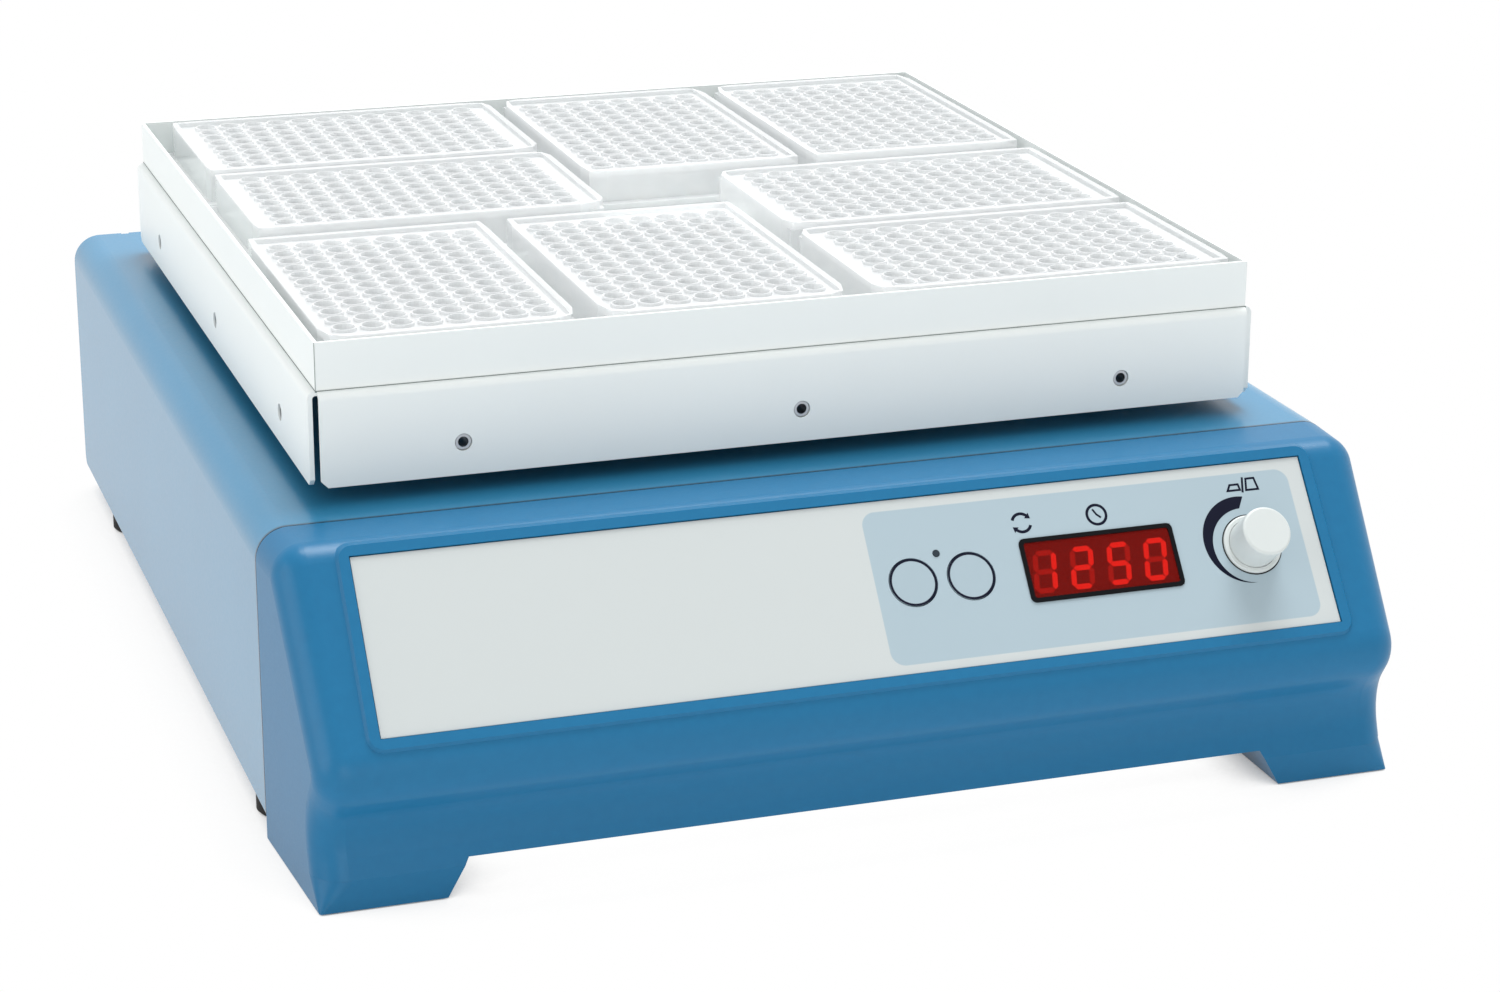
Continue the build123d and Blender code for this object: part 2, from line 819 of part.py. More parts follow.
export_step(display_bezel.part, "parts/display_bezel.step")

# Display window, on the bezel's ledge
with BuildPart() as display_window:
    with BuildSketch(panel_plane(bezel_bed)):
        with Locations((display_x, display_y)):
            Rectangle(
                display_width - 2 * (bezel_border + window_fit),
                display_height - 2 * (bezel_border + window_fit),
            )
    extrude(amount=window_gauge)
display_window.part.label = "display_window"
export_step(display_window.part, "parts/display_window.step")

# Control board on the moulding's posts, with two switches and a plug behind
with BuildPart() as control_board:
    with BuildSketch(panel_plane(-board_drop)):
        with Locations((board_x, 0)):
            Rectangle(board_width, board_height)
    extrude(amount=-board_gauge)
    with BuildSketch(panel_plane(-board_drop)):
        with Locations((start_x, button_y), (mode_x, button_y)):
            Rectangle(switch_size, switch_size)
    extrude(amount=switch_height)
    with BuildSketch(panel_plane(-board_drop - board_gauge)):
        with Locations((board_x, 0)):
            Rectangle(plug_width, plug_height)
    extrude(amount=-plug_depth)
control_board.part.label = "control_board"
export_step(control_board.part, "parts/control_board.step")

# Digit block behind the window
with BuildPart() as display_module:
    with BuildSketch(panel_plane(-board_drop)):
        with Locations((display_x, display_y)):
            Rectangle(digit_block_width, digit_block_height)
    extrude(amount=digit_block_depth)
display_module.part.label = "display_module"
export_step(display_module.part, "parts/display_module.step")

# Status light: a lens that reaches through the label
with BuildPart() as status_led:
    with BuildSketch(panel_plane(-board_drop)):
        with Locations((led_x, led_y)):
            Circle(led_base_radius)
    extrude(amount=led_base)
    with BuildSketch(panel_plane(-board_drop)):
        with Locations((led_x, led_y)):
            Circle(led_radius)
    extrude(amount=board_drop + label_face + led_proud)
status_led.part.label = "status_led"
export_step(status_led.part, "parts/status_led.step")


def button_form(centre_x):
    """A round button flush with the label, on a stem that ends at its switch."""
    with BuildPart() as button:
        with BuildSketch(panel_plane(button_face)):
            with Locations((centre_x, button_y)):
                Circle(button_radius)
        extrude(amount=-button_depth)
        with BuildSketch(panel_plane(button_face)):
            with Locations((centre_x, button_y)):
                Circle(button_stem_radius)
        extrude(amount=-(button_face + board_drop - switch_height - button_travel - led_fit))
    return button.part


# Start button
with BuildPart() as start_button:
    add(button_form(start_x))
start_button.part.label = "start_button"
export_step(start_button.part, "parts/start_button.step")

# Mode button
with BuildPart() as mode_button:
    add(button_form(mode_x))
mode_button.part.label = "mode_button"
export_step(mode_button.part, "parts/mode_button.step")

# Encoder body on the board, with a bore for the plunger
with BuildPart() as encoder_body:
    with BuildSketch(panel_plane(-board_drop)):
        with Locations((knob_x, knob_y)):
            Rectangle(encoder_size, encoder_size)
            Circle(plunger_radius + shaft_fit, mode=Mode.SUBTRACT)
    extrude(amount=encoder_depth)
encoder_body.part.label = "encoder_body"
export_step(encoder_body.part, "parts/encoder_body.step")

# Plunger: slides in the encoder when the knob is pushed, and carries its shaft
with BuildPart() as switch_plunger:
    with BuildSketch(panel_plane(-knob_root - plunger_gap)):
        with Locations((knob_x, knob_y)):
            Circle(plunger_radius)
            Circle(shaft_radius + shaft_fit, mode=Mode.SUBTRACT)
    extrude(amount=-plunger_length)
switch_plunger.part.label = "switch_plunger"
export_step(switch_plunger.part, "parts/switch_plunger.step")

# Knob shaft, turning in the plunger
with BuildPart() as knob_shaft:
    with BuildSketch(panel_plane(-knob_root - plunger_gap - plunger_length)):
        with Locations((knob_x, knob_y)):
            Circle(shaft_radius)
    extrude(amount=knob_root + plunger_gap + plunger_length + knob_reach - knob_cap)
knob_shaft.part.label = "knob_shaft"
export_step(knob_shaft.part, "parts/knob_shaft.step")

# Knob: a plain cap that sinks into its hole when it is pushed
with BuildPart() as speed_knob:
    with BuildSketch(panel_plane(-knob_root)):
        with Locations((knob_x, knob_y)):
            Circle(knob_radius)
    extrude(amount=knob_root + knob_reach)
    top_face = speed_knob.faces().sort_by(lambda f: f.center().dot(panel_plane().z_dir))[-1]
    fillet(top_face.edges(), radius=knob_edge)
    with BuildSketch(panel_plane(-knob_root)):
        with Locations((knob_x, knob_y)):
            Circle(shaft_radius + shaft_fit)
    extrude(amount=knob_root + knob_reach - knob_cap, mode=Mode.SUBTRACT)
speed_knob.part.label = "speed_knob"
export_step(speed_knob.part, "parts/speed_knob.step")

# Drive deck: a thick plate that holds the three crank housings
with BuildPart() as drive_deck:
    with BuildSketch(Plane.XY.offset(deck_z)):
        with Locations((0, deck_y)):
            RectangleRounded(deck_width, deck_depth, deck_round)
        with Locations(*cranks):
            Circle(housing_radius + deck_fit, mode=Mode.SUBTRACT)
            with PolarLocations(housing_screw_reach, 2):
                Circle(screw_radius + screw_fit, mode=Mode.SUBTRACT)
        with Locations(*pillars):
            Circle(screw_radius + screw_fit, mode=Mode.SUBTRACT)
    extrude(amount=deck_gauge)
drive_deck.part.label = "drive_deck"
export_step(drive_deck.part, "parts/drive_deck.step")

# Pillars between the base plate and the deck, tapped at both ends
with BuildPart() as deck_pillars:
    with BuildSketch(Plane.XY.offset(base_top)):
        with Locations(*pillars):
            Circle(pillar_radius)
    extrude(amount=deck_z - base_top)
    with BuildSketch(Plane.XY.offset(base_top)):
        with Locations(*pillars):
            Circle(screw_radius + screw_fit)
    extrude(amount=pillar_tap + screw_fit, mode=Mode.SUBTRACT)
    with BuildSketch(Plane.XY.offset(deck_z)):
        with Locations(*pillars):
            Circle(screw_radius + screw_fit)
    extrude(amount=-pillar_tap - screw_fit, mode=Mode.SUBTRACT)
deck_pillars.part.label = "deck_pillars"
export_step(deck_pillars.part, "parts/deck_pillars.step")

# Screws of the deck and of the crank housings
with BuildPart() as deck_screws:
    with BuildSketch(Plane.XY.offset(deck_top)):
        with Locations(*pillars):
            Circle(screw_head_radius)
    extrude(amount=deck_screw_head)
    with BuildSketch(Plane.XY.offset(deck_top)):
        with Locations(*pillars):
            Circle(screw_radius)
    extrude(amount=-deck_gauge - pillar_tap)
    with BuildSketch(Plane.XY.offset(deck_top + housing_flange)):
        with Locations(*cranks):
            with PolarLocations(housing_screw_reach, 2):
                Circle(screw_head_radius)
    extrude(amount=deck_screw_head)
    with BuildSketch(Plane.XY.offset(deck_top + housing_flange)):
        with Locations(*cranks):
            with PolarLocations(housing_screw_reach, 2):
                Circle(screw_radius)
    extrude(amount=-deck_gauge - housing_flange)
deck_screws.part.label = "deck_screws"
export_step(deck_screws.part, "parts/deck_screws.step")

# Crank housing: a flanged barrel with a bearing seat at each end
with BuildPart() as housing_form:
    with BuildSketch(Plane.XY.offset(housing_foot)):
        Circle(housing_radius)
    extrude(amount=housing_head - housing_foot)
    with BuildSketch(Plane.XY.offset(deck_top)):
        Circle(housing_flange_radius)
        with PolarLocations(housing_screw_reach, 2):
            Circle(screw_radius + screw_fit, mode=Mode.SUBTRACT)
    extrude(amount=housing_flange)
    with BuildSketch(Plane.XY.offset(housing_foot)):
        Circle(bore_relief)
    extrude(amount=housing_head - housing_foot, mode=Mode.SUBTRACT)
    for seat in (housing_foot, housing_head - bearing_width):
        with BuildSketch(Plane.XY.offset(seat)):
            Circle(bearing_outer + bearing_fit)
        extrude(amount=bearing_width, mode=Mode.SUBTRACT)

# The two ball bearings of a crank, as plain rings
with BuildPart() as bearing_form:
    for seat in (housing_foot, housing_head - bearing_width):
        with BuildSketch(Plane.XY.offset(seat)):
            Circle(bearing_outer)
            Circle(journal_radius + running_fit, mode=Mode.SUBTRACT)
        extrude(amount=bearing_width)

for name, (x, y) in zip(("drive", "idler_left", "idler_right"), cranks):
    with BuildPart() as crank_housing:
        with Locations((x, y, 0)):
            add(housing_form.part)
    crank_housing.part.label = f"crank_housing_{name}"
    export_step(crank_housing.part, f"parts/crank_housing_{name}.step")
    with BuildPart() as crank_bearings:
        with Locations((x, y, 0)):
            add(bearing_form.part)
    crank_bearings.part.label = f"crank_bearings_{name}"
    export_step(crank_bearings.part, f"parts/crank_bearings_{name}.step")


def crank_form(centre, foot, pin):
    """A crank: journal, collar above the upper bearing, and an offset pin on top."""
    with BuildPart() as crank:
        with BuildSketch(Plane.XY.offset(foot)):
            with Locations(centre):
                Circle(journal_radius)
        extrude(amount=pin_foot - foot)
        with BuildSketch(Plane.XY.offset(collar_z)):
            with Locations(centre):
                Circle(collar_radius)
        extrude(amount=collar_height)
        with BuildSketch(Plane.XY.offset(pin_foot)):
            with Locations((centre[0] + orbit_radius, centre[1])):
                Circle(pin)
        extrude(amount=pin_top - pin_foot)
    return crank.part


# Drive crank, turned by the belt
with BuildPart() as drive_crank:
    add(crank_form(cranks[0], crank_foot, pin_radius))
drive_crank.part.label = "drive_crank"
export_step(drive_crank.part, "parts/drive_crank.step")

# Idler cranks: they keep the platform from turning; their pins have play
with BuildPart() as idler_crank_left:
    add(crank_form(cranks[1], idler_foot, pin_radius - idler_pin_play))
idler_crank_left.part.label = "idler_crank_left"
export_step(idler_crank_left.part, "parts/idler_crank_left.step")

with BuildPart() as idler_crank_right:
    add(crank_form(cranks[2], idler_foot, pin_radius - idler_pin_play))
idler_crank_right.part.label = "idler_crank_right"
export_step(idler_crank_right.part, "parts/idler_crank_right.step")


def pulley_form(centre, radius, bore):
    """A flat-belt pulley with a lip above and below the belt."""
    with BuildPart() as pulley:
        with BuildSketch(Plane.XY.offset(pulley_z)):
            with Locations(centre):
                Circle(radius)
        extrude(amount=pulley_height)
        for lip_z in (pulley_z, pulley_z + pulley_height - pulley_flange):
            with BuildSketch(Plane.XY.offset(lip_z)):
                with Locations(centre):
                    Circle(radius + pulley_lip)
            extrude(amount=pulley_flange)
        with BuildSketch(Plane.XY.offset(pulley_z)):
            with Locations(centre):
                Circle(bore + hub_fit)
        extrude(amount=pulley_height, mode=Mode.SUBTRACT)
    return pulley.part


# Driven pulley on the drive crank
with BuildPart() as driven_pulley:
    add(pulley_form(cranks[0], pulley_radius, journal_radius))
driven_pulley.part.label = "driven_pulley"
export_step(driven_pulley.part, "parts/driven_pulley.step")

# Counterweight, on the side away from the crank's pin
with BuildPart() as counterweight:
    with BuildSketch(Plane.XY.offset(weight_z)):
        with Locations(cranks[0]):
            Circle(weight_radius)
        with Locations((cranks[0][0] + weight_radius / 2, cranks[0][1])):
            Rectangle(weight_radius, 2 * weight_radius, mode=Mode.SUBTRACT)
        with Locations(cranks[0]):
            Circle(weight_hub)
            Circle(journal_radius + hub_fit, mode=Mode.SUBTRACT)
    extrude(amount=weight_height)
counterweight.part.label = "counterweight"
export_step(counterweight.part, "parts/counterweight.step")

# Drive motor, standing on the base plate
with BuildPart() as drive_motor:
    with BuildSketch(Plane.XY.offset(base_top)):
        with Locations((motor_x, motor_y)):
            Circle(motor_radius)
    extrude(amount=motor_height)
    fillet(drive_motor.edges().sort_by(Axis.Z)[-1], radius=motor_edge)
    with BuildSketch(Plane.XY.offset(base_top + motor_height)):
        with Locations((motor_x, motor_y)):
            Circle(motor_boss_radius)
    extrude(amount=motor_boss)
    with BuildSketch(Plane.XY.offset(motor_shaft_foot)):
        with Locations((motor_x, motor_y)):
            Circle(motor_shaft_radius + running_fit)
    extrude(amount=motor_shaft_top - motor_shaft_foot, mode=Mode.SUBTRACT)
drive_motor.part.label = "drive_motor"
export_step(drive_motor.part, "parts/drive_motor.step")

# Motor shaft
with BuildPart() as motor_shaft:
    with BuildSketch(Plane.XY.offset(motor_shaft_foot)):
        with Locations((motor_x, motor_y)):
            Circle(motor_shaft_radius)
    extrude(amount=motor_shaft_top - motor_shaft_foot)
motor_shaft.part.label = "motor_shaft"
export_step(motor_shaft.part, "parts/motor_shaft.step")

# Motor pulley
with BuildPart() as motor_pulley:
    add(pulley_form((motor_x, motor_y), motor_pulley_radius, motor_shaft_radius))
motor_pulley.part.label = "motor_pulley"
export_step(motor_pulley.part, "parts/motor_pulley.step")

# Drive belt: a flat loop round both pulleys
with BuildPart() as drive_belt:
    belt_z = pulley_z + (pulley_height - belt_height) / 2
    for rise, belt_mode in ((belt_gap + belt_gauge, Mode.ADD), (belt_gap, Mode.SUBTRACT)):
        with BuildSketch(Plane.XY.offset(belt_z)):
            with Locations(cranks[0]):
                Circle(pulley_radius + rise)
            with Locations((motor_x, motor_y)):
                Circle(motor_pulley_radius + rise)
            make_hull()
        extrude(amount=belt_height, mode=belt_mode)
drive_belt.part.label = "drive_belt"
export_step(drive_belt.part, "parts/drive_belt.step")

# Power supply board on posts, with its coil, cans and heat sink
with BuildPart() as power_board:
    psu_z = base_top + psu_post
    psu_left = psu_x - psu_width / 2
    with BuildSketch(Plane.XY.offset(base_top)):
        with Locations((psu_x, psu_y)):
            with GridLocations(
                psu_width - 2 * psu_post_inset, psu_depth - 2 * psu_post_inset, 2, 2
            ):
                Circle(psu_post_radius)
    extrude(amount=psu_post)
    with BuildSketch(Plane.XY.offset(psu_z)):
        with Locations((psu_x, psu_y)):
            Rectangle(psu_width, psu_depth)
    extrude(amount=psu_gauge)
    with BuildSketch(Plane.XY.offset(psu_z + psu_gauge)):
        with Locations((coil_x, psu_y)):
            Rectangle(coil_width, coil_depth)
    extrude(amount=coil_height)
    with BuildSketch(Plane.XY.offset(psu_z + psu_gauge)):
        with Locations((can_x, psu_y - can_pitch / 2), (can_x, psu_y + can_pitch / 2)):
            Circle(can_radius)
    extrude(amount=can_height)
    with BuildSketch(Plane.XY.offset(psu_z + psu_gauge)):
        with Locations((sink_x, sink_y)):
            Rectangle(sink_width / 2, sink_gauge)
    extrude(amount=sink_height)
power_board.part.label = "power_board"
export_step(power_board.part, "parts/power_board.step")


def skirt_plane(turn, reach):
    """A plane on one of the platform's four sides, facing out, at insert height."""
    angle = radians(turn)
    return Plane(
        origin=(reach * sin(angle), platform_y - reach * cos(angle), insert_z),
        x_dir=(cos(angle), sin(angle), 0),
        z_dir=(sin(angle), -cos(angle), 0),
    )


quarter_turns = (0, 90, 180, 270)
insert_row = [(-insert_pitch, 0), (0, 0), (insert_pitch, 0)]

# Lower platform: an inverted folded pan, open at its corners
with BuildPart() as lower_platform:
    for across in (Plane.XZ, Plane.YZ):
        run = pan_size / 2 - pan_corner
        middle = 0 if across == Plane.XZ else platform_y
        start = run - platform_y if across == Plane.XZ else -run
        with BuildSketch(across.offset(start if across == Plane.YZ else -run - platform_y)):
            with BuildLine():
                FilletPolyline(
                    (middle - pan_size / 2, pan_foot),
                    (middle - pan_size / 2, pan_top),
                    (middle + pan_size / 2, pan_top),
                    (middle + pan_size / 2, pan_foot),
                    radius=pan_bend,
                )
                offset(amount=pan_gauge, side=Side.RIGHT)
            make_face()
        extrude(amount=2 * run)
    toes = lower_platform.edges().filter_by(
        lambda e: e.length < pan_gauge + pick_room and e.center().Z < pan_foot + pick_room
    )
    chamfer(toes, length=pan_nick)
    for turn in quarter_turns:
        with BuildSketch(skirt_plane(turn, pan_size / 2)):
            with Locations(*insert_row):
                Circle(insert_hole)
        extrude(amount=-pan_gauge, mode=Mode.SUBTRACT)
    with BuildSketch(Plane.XY.offset(pan_underside)):
        with Locations(*tray_screws_at):
            Circle(tray_screw_radius + screw_fit)
    extrude(amount=pan_gauge, mode=Mode.SUBTRACT)
lower_platform.part.label = "lower_platform"
export_step(lower_platform.part, "parts/lower_platform.step")

# Threaded inserts, three behind each skirt
with BuildPart() as threaded_inserts:
    for turn in quarter_turns:
        with BuildSketch(skirt_plane(turn, pan_size / 2 - insert_sink)):
            with Locations(*insert_row):
                Circle(insert_radius)
        extrude(amount=-insert_length)
        with BuildSketch(skirt_plane(turn, pan_size / 2 - pan_gauge)):
            with Locations(*insert_row):
                Circle(insert_flange_radius)
        extrude(amount=-insert_flange)
        with BuildSketch(skirt_plane(turn, pan_size / 2)):
            with Locations(*insert_row):
                Circle(insert_bore)
        extrude(amount=-insert_sink - insert_length, mode=Mode.SUBTRACT)
threaded_inserts.part.label = "threaded_inserts"
export_step(threaded_inserts.part, "parts/threaded_inserts.step")

# Platform subframe: a cast plate with a bearing boss over each crank pin
with BuildPart() as platform_subframe:
    with BuildSketch(Plane.XY.offset(frame_foot)):
        with Locations((0, frame_y)):
            RectangleRounded(frame_width, frame_depth, frame_round)
    extrude(amount=frame_gauge)
    with BuildSketch(Plane.XY.offset(rib_foot)):
        for near, far in ((pins[0], pins[1]), (pins[1], pins[2]), (pins[2], pins[0])):
            span = (far[0] - near[0], far[1] - near[1])
            middle = ((near[0] + far[0]) / 2, (near[1] + far[1]) / 2)
            with Locations(Location(middle, degrees(atan2(span[1], span[0])))):
                Rectangle(hypot(*span), rib_width)
    extrude(amount=frame_foot - rib_foot)
    with BuildSketch(Plane.XY.offset(boss_foot)):
        with Locations(*pins):
            Circle(boss_radius)
    extrude(amount=frame_foot - boss_foot)
    with BuildSketch(Plane.XY.offset(boss_foot)):
        with Locations(*pins):
            Circle(platform_bearing_radius + bearing_fit)
    extrude(amount=platform_bearing_z + platform_bearing_width - boss_foot, mode=Mode.SUBTRACT)
    with BuildSketch(Plane.XY.offset(boss_foot)):
        with Locations(*pins):
            Circle(platform_bearing_relief)
    extrude(amount=pin_top + pin_headroom - boss_foot, mode=Mode.SUBTRACT)
    with BuildSketch(Plane.XY.offset(frame_foot)):
        with Locations(*tray_screws_at):
            Circle(tray_screw_radius + screw_fit)
    extrude(amount=frame_gauge, mode=Mode.SUBTRACT)
platform_subframe.part.label = "platform_subframe"
export_step(platform_subframe.part, "parts/platform_subframe.step")

# Bearings on the crank pins, as plain rings
with BuildPart() as platform_bearings:
    with BuildSketch(Plane.XY.offset(platform_bearing_z)):
        with Locations(*pins):
            Circle(platform_bearing_radius)
            Circle(pin_radius + running_fit, mode=Mode.SUBTRACT)
    extrude(amount=platform_bearing_width)
platform_bearings.part.label = "platform_bearings"
export_step(platform_bearings.part, "parts/platform_bearings.step")

# Microplate tray: a shallow folded tray with closed corners
with BuildPart() as platform_tray:
    with BuildSketch(Plane.XY.offset(pan_top)):
        with Locations((0, platform_y)):
            RectangleRounded(tray_size, tray_size, tray_round)
    extrude(amount=tray_height)
    fillet(platform_tray.faces().sort_by(Axis.Z)[0].edges(), radius=tray_bend / 2)
    with BuildSketch(Plane.XY.offset(tray_floor)):
        with Locations((0, platform_y)):
            Rectangle(2 * tray_inner, 2 * tray_inner)
    extrude(amount=tray_height, mode=Mode.SUBTRACT)
    with BuildSketch(Plane.XY.offset(pan_top)):
        with Locations(*tray_screws_at):
            Circle(tray_screw_radius + screw_fit)
    extrude(amount=tray_gauge, mode=Mode.SUBTRACT)
platform_tray.part.label = "platform_tray"
export_step(platform_tray.part, "parts/platform_tray.step")

# Low-head screws that hold tray, pan and subframe together
with BuildPart() as tray_screws:
    with BuildSketch(Plane.XY.offset(tray_floor)):
        with Locations(*tray_screws_at):
            Circle(tray_screw_head_radius)
    extrude(amount=tray_screw_head)
    with BuildSketch(Plane.XY.offset(tray_floor)):
        with Locations(*tray_screws_at):
            Circle(tray_screw_radius)
    extrude(amount=frame_foot - tray_floor)
tray_screws.part.label = "tray_screws"
export_step(tray_screws.part, "parts/tray_screws.step")

# Microplate: a stepped skirt, a sunken deck, and its block of 96 wells with a hollow round it
with BuildPart() as plate_form:
    with BuildSketch():
        RectangleRounded(plate_length, plate_width, plate_round)
    extrude(amount=plate_skirt)
    with BuildSketch(Plane.XY.offset(plate_skirt)):
        Rectangle(plate_length - 2 * plate_step, plate_width - 2 * plate_step)
        chamfer(vertices().group_by(Axis.X)[0], length=plate_corner)
        fillet(vertices().group_by(Axis.X)[-1], radius=plate_round)
    extrude(amount=plate_height - plate_skirt)
    with BuildSketch(Plane.XY.offset(plate_height)):
        Rectangle(
            plate_length - 2 * (plate_step + plate_rim), plate_width - 2 * (plate_step + plate_rim)
        )
        chamfer(vertices().group_by(Axis.X)[0], length=plate_corner - plate_rim / 2)
    extrude(amount=-plate_deck_drop, mode=Mode.SUBTRACT)
    with BuildSketch():
        RectangleRounded(
            plate_length - 2 * plate_wall, plate_width - 2 * plate_wall, plate_round - plate_wall
        )
    extrude(amount=plate_skirt - plate_wall, mode=Mode.SUBTRACT)
    with BuildSketch():
        Rectangle(
            plate_length - 2 * (plate_step + plate_wall),
            plate_width - 2 * (plate_step + plate_wall),
        )
        chamfer(vertices().group_by(Axis.X)[0], length=plate_corner)
    extrude(amount=plate_height - plate_deck_drop - plate_wall, mode=Mode.SUBTRACT)
    with BuildSketch(Plane.XY.offset(well_foot)):
        Rectangle(wells_long * well_pitch, wells_wide * well_pitch)
    extrude(amount=plate_height - well_rim_drop - well_foot)
    with BuildSketch(Plane.XY.offset(well_floor)):
        with GridLocations(well_pitch, well_pitch, wells_long, wells_wide):
            Circle(well_radius)
    extrude(amount=plate_height - well_floor, mode=Mode.SUBTRACT)

# The eight plates lie in four pairs, each pair turned from the next
near_side = tray_inner - plate_gap - plate_width / 2
near_end = tray_inner - plate_gap - plate_length / 2
plate_places = [
    (-near_side, -near_end, 90),
    (-near_side + front_pair_pitch, -near_end, 90),
    (near_end, -near_side, 0),
    (near_end, -near_side + plate_pitch, 0),
    (-near_end + left_pair_shift, near_side - plate_pitch, 180),
    (-near_end + left_pair_shift, near_side, 180),
    (near_side - plate_pitch, near_end, 270),
    (near_side, near_end, 270),
]
for number, (x, y, turn) in enumerate(plate_places, start=1):
    with BuildPart() as microplate:
        with Locations(Location((x, platform_y + y, tray_floor), turn)):
            add(plate_form.part)
    microplate.part.label = f"microplate_{number}"
    export_step(microplate.part, f"parts/microplate_{number}.step")
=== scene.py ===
"""A microplate shaker on a white studio floor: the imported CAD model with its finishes,
its eight microplates with their wells, and the print on its control label."""

import bpy
import numpy as np
from mathutils import Matrix


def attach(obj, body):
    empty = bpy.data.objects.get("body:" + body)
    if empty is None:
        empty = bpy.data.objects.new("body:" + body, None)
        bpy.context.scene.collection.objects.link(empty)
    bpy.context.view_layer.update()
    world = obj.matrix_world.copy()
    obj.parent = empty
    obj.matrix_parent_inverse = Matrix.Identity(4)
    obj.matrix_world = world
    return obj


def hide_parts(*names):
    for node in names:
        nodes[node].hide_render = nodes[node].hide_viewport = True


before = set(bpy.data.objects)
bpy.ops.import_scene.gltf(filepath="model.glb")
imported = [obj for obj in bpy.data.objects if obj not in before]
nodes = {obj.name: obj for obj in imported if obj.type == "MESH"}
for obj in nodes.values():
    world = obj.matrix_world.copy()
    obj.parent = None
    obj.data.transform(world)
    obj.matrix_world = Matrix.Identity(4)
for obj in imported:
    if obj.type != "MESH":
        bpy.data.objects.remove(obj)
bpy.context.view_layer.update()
mm = 0.001

# Camera. It stands in front of the shaker's left end, a little above it, and looks down
# along the control panel, as the photograph does. Places are in metres.
camera_place = (-0.35955, -1.14126, 0.45245)
camera_right = (0.94728746, -0.32035075, 0.00467539)
camera_up = (0.09798442, 0.30357519, 0.94775585)
camera_back = (-0.30503363, -0.89733912, 0.31896235)
sensor_width = 36.0
lens_length = 85.44
frame_shift_x = -0.0008
frame_shift_y = -0.0096

camera = bpy.data.objects.new("camera", bpy.data.cameras.new("camera"))
camera.data.sensor_width = sensor_width
camera.data.lens = lens_length
camera.data.shift_x = frame_shift_x
camera.data.shift_y = frame_shift_y
camera.data.clip_start = 0.05
camera.data.clip_end = 50.0
turned = Matrix((camera_right, camera_up, camera_back)).transposed()
camera.matrix_world = Matrix.Translation(camera_place) @ turned.to_4x4()
bpy.context.scene.collection.objects.link(camera)
bpy.context.scene.camera = camera
bpy.context.scene.view_settings.view_transform = "Standard"

# Studio. A white floor that runs on into a white surround, and soft lamps: a wide one to
# the left, which lights the case's side, a low one in front, and one overhead, which
# lights the microplates. Places and sizes are in metres, powers in watts.
floor_half = 6.0
floor_white = "#F4F5F5"
surround_white = "#FFFFFF"
surround_light = 0.7
contact_reach = 0.05
contact_full = 0.6
contact_samples = 8
lamp_aim = (0.0, 0.0, 0.08)
left_lamp = {"place": (-2.2, -0.4, 0.9), "size": 1.6, "power": 12.0}
front_lamp = {"place": (-0.5, -2.5, 0.5), "size": 1.4, "power": 8.0}
top_lamp = {"place": (0.5, 0.45, 2.05), "size": 1.2, "power": 46.0}


def linear(colour):
    """The linear colour of an sRGB hex value: c / 12.92 below 0.04045, and
    ((c + 0.055) / 1.055) ** 2.4 above it, for each channel."""
    parts = [int(colour[i:i + 2], 16) / 255 for i in (1, 3, 5)]
    return (*[c / 12.92 if c <= 0.04045 else ((c + 0.055) / 1.055) ** 2.4 for c in parts], 1.0)


def add_node(tree, kind, values=None, links=None, **settings):
    """Adds one shader node, sets its inputs and properties, and links sockets into it."""
    node = tree.nodes.new(kind)
    for name, value in settings.items():
        setattr(node, name, value)
    for name, value in (values or {}).items():
        node.inputs[name].default_value = value
    for name, socket in (links or {}).items():
        tree.links.new(socket, node.inputs[name])
    return node


def new_material(name):
    """An empty node material, its tree, and the place on the object, in metres."""
    material = bpy.data.materials.new(name)
    material.use_nodes = True
    tree = material.node_tree
    tree.nodes.clear()
    return material, tree, add_node(tree, "ShaderNodeTexCoord").outputs["Object"]


def close_material(tree, shader):
    """Puts the shader's first socket on the material's surface."""
    add_node(tree, "ShaderNodeOutputMaterial", links={"Surface": shader.outputs[0]})


def seen_directly(tree):
    """1 on camera, mirror and see-through rays, and 0 on the rays that carry light."""
    rays = add_node(tree, "ShaderNodeLightPath")
    either = add_node(tree, "ShaderNodeMath", operation="MAXIMUM", links={
        0: rays.outputs["Is Camera Ray"], 1: rays.outputs["Is Glossy Ray"]})
    return add_node(tree, "ShaderNodeMath", operation="MAXIMUM", links={
        0: either.outputs[0], 1: rays.outputs["Is Transmission Ray"]}).outputs[0]


def lamp(name, place, size, power):
    """A square soft lamp at place, facing the shaker's middle: its axes are the direction
    away from there, a level one across it, and the product of both."""
    light = bpy.data.lights.new(name, "AREA")
    light.size = size
    light.energy = power
    holder = bpy.data.objects.new(name, light)
    away = np.array(place) - np.array(lamp_aim)
    away = away / np.linalg.norm(away)
    side = np.cross((0.0, 0.0, 1.0), away)
    side = side / np.linalg.norm(side)
    turn = Matrix((side, np.cross(away, side), away)).transposed()
    holder.matrix_world = Matrix.Translation(place) @ turn.to_4x4()
    bpy.context.scene.collection.objects.link(holder)


def add_piece(name, points, faces, material):
    """A mesh object from an array of points, in metres, and a list of faces."""
    mesh = bpy.data.meshes.new(name)
    mesh.from_pydata(np.asarray(points, float).tolist(), [], faces)
    mesh.materials.append(material)
    piece = bpy.data.objects.new(name, mesh)
    bpy.context.scene.collection.objects.link(piece)
    return piece


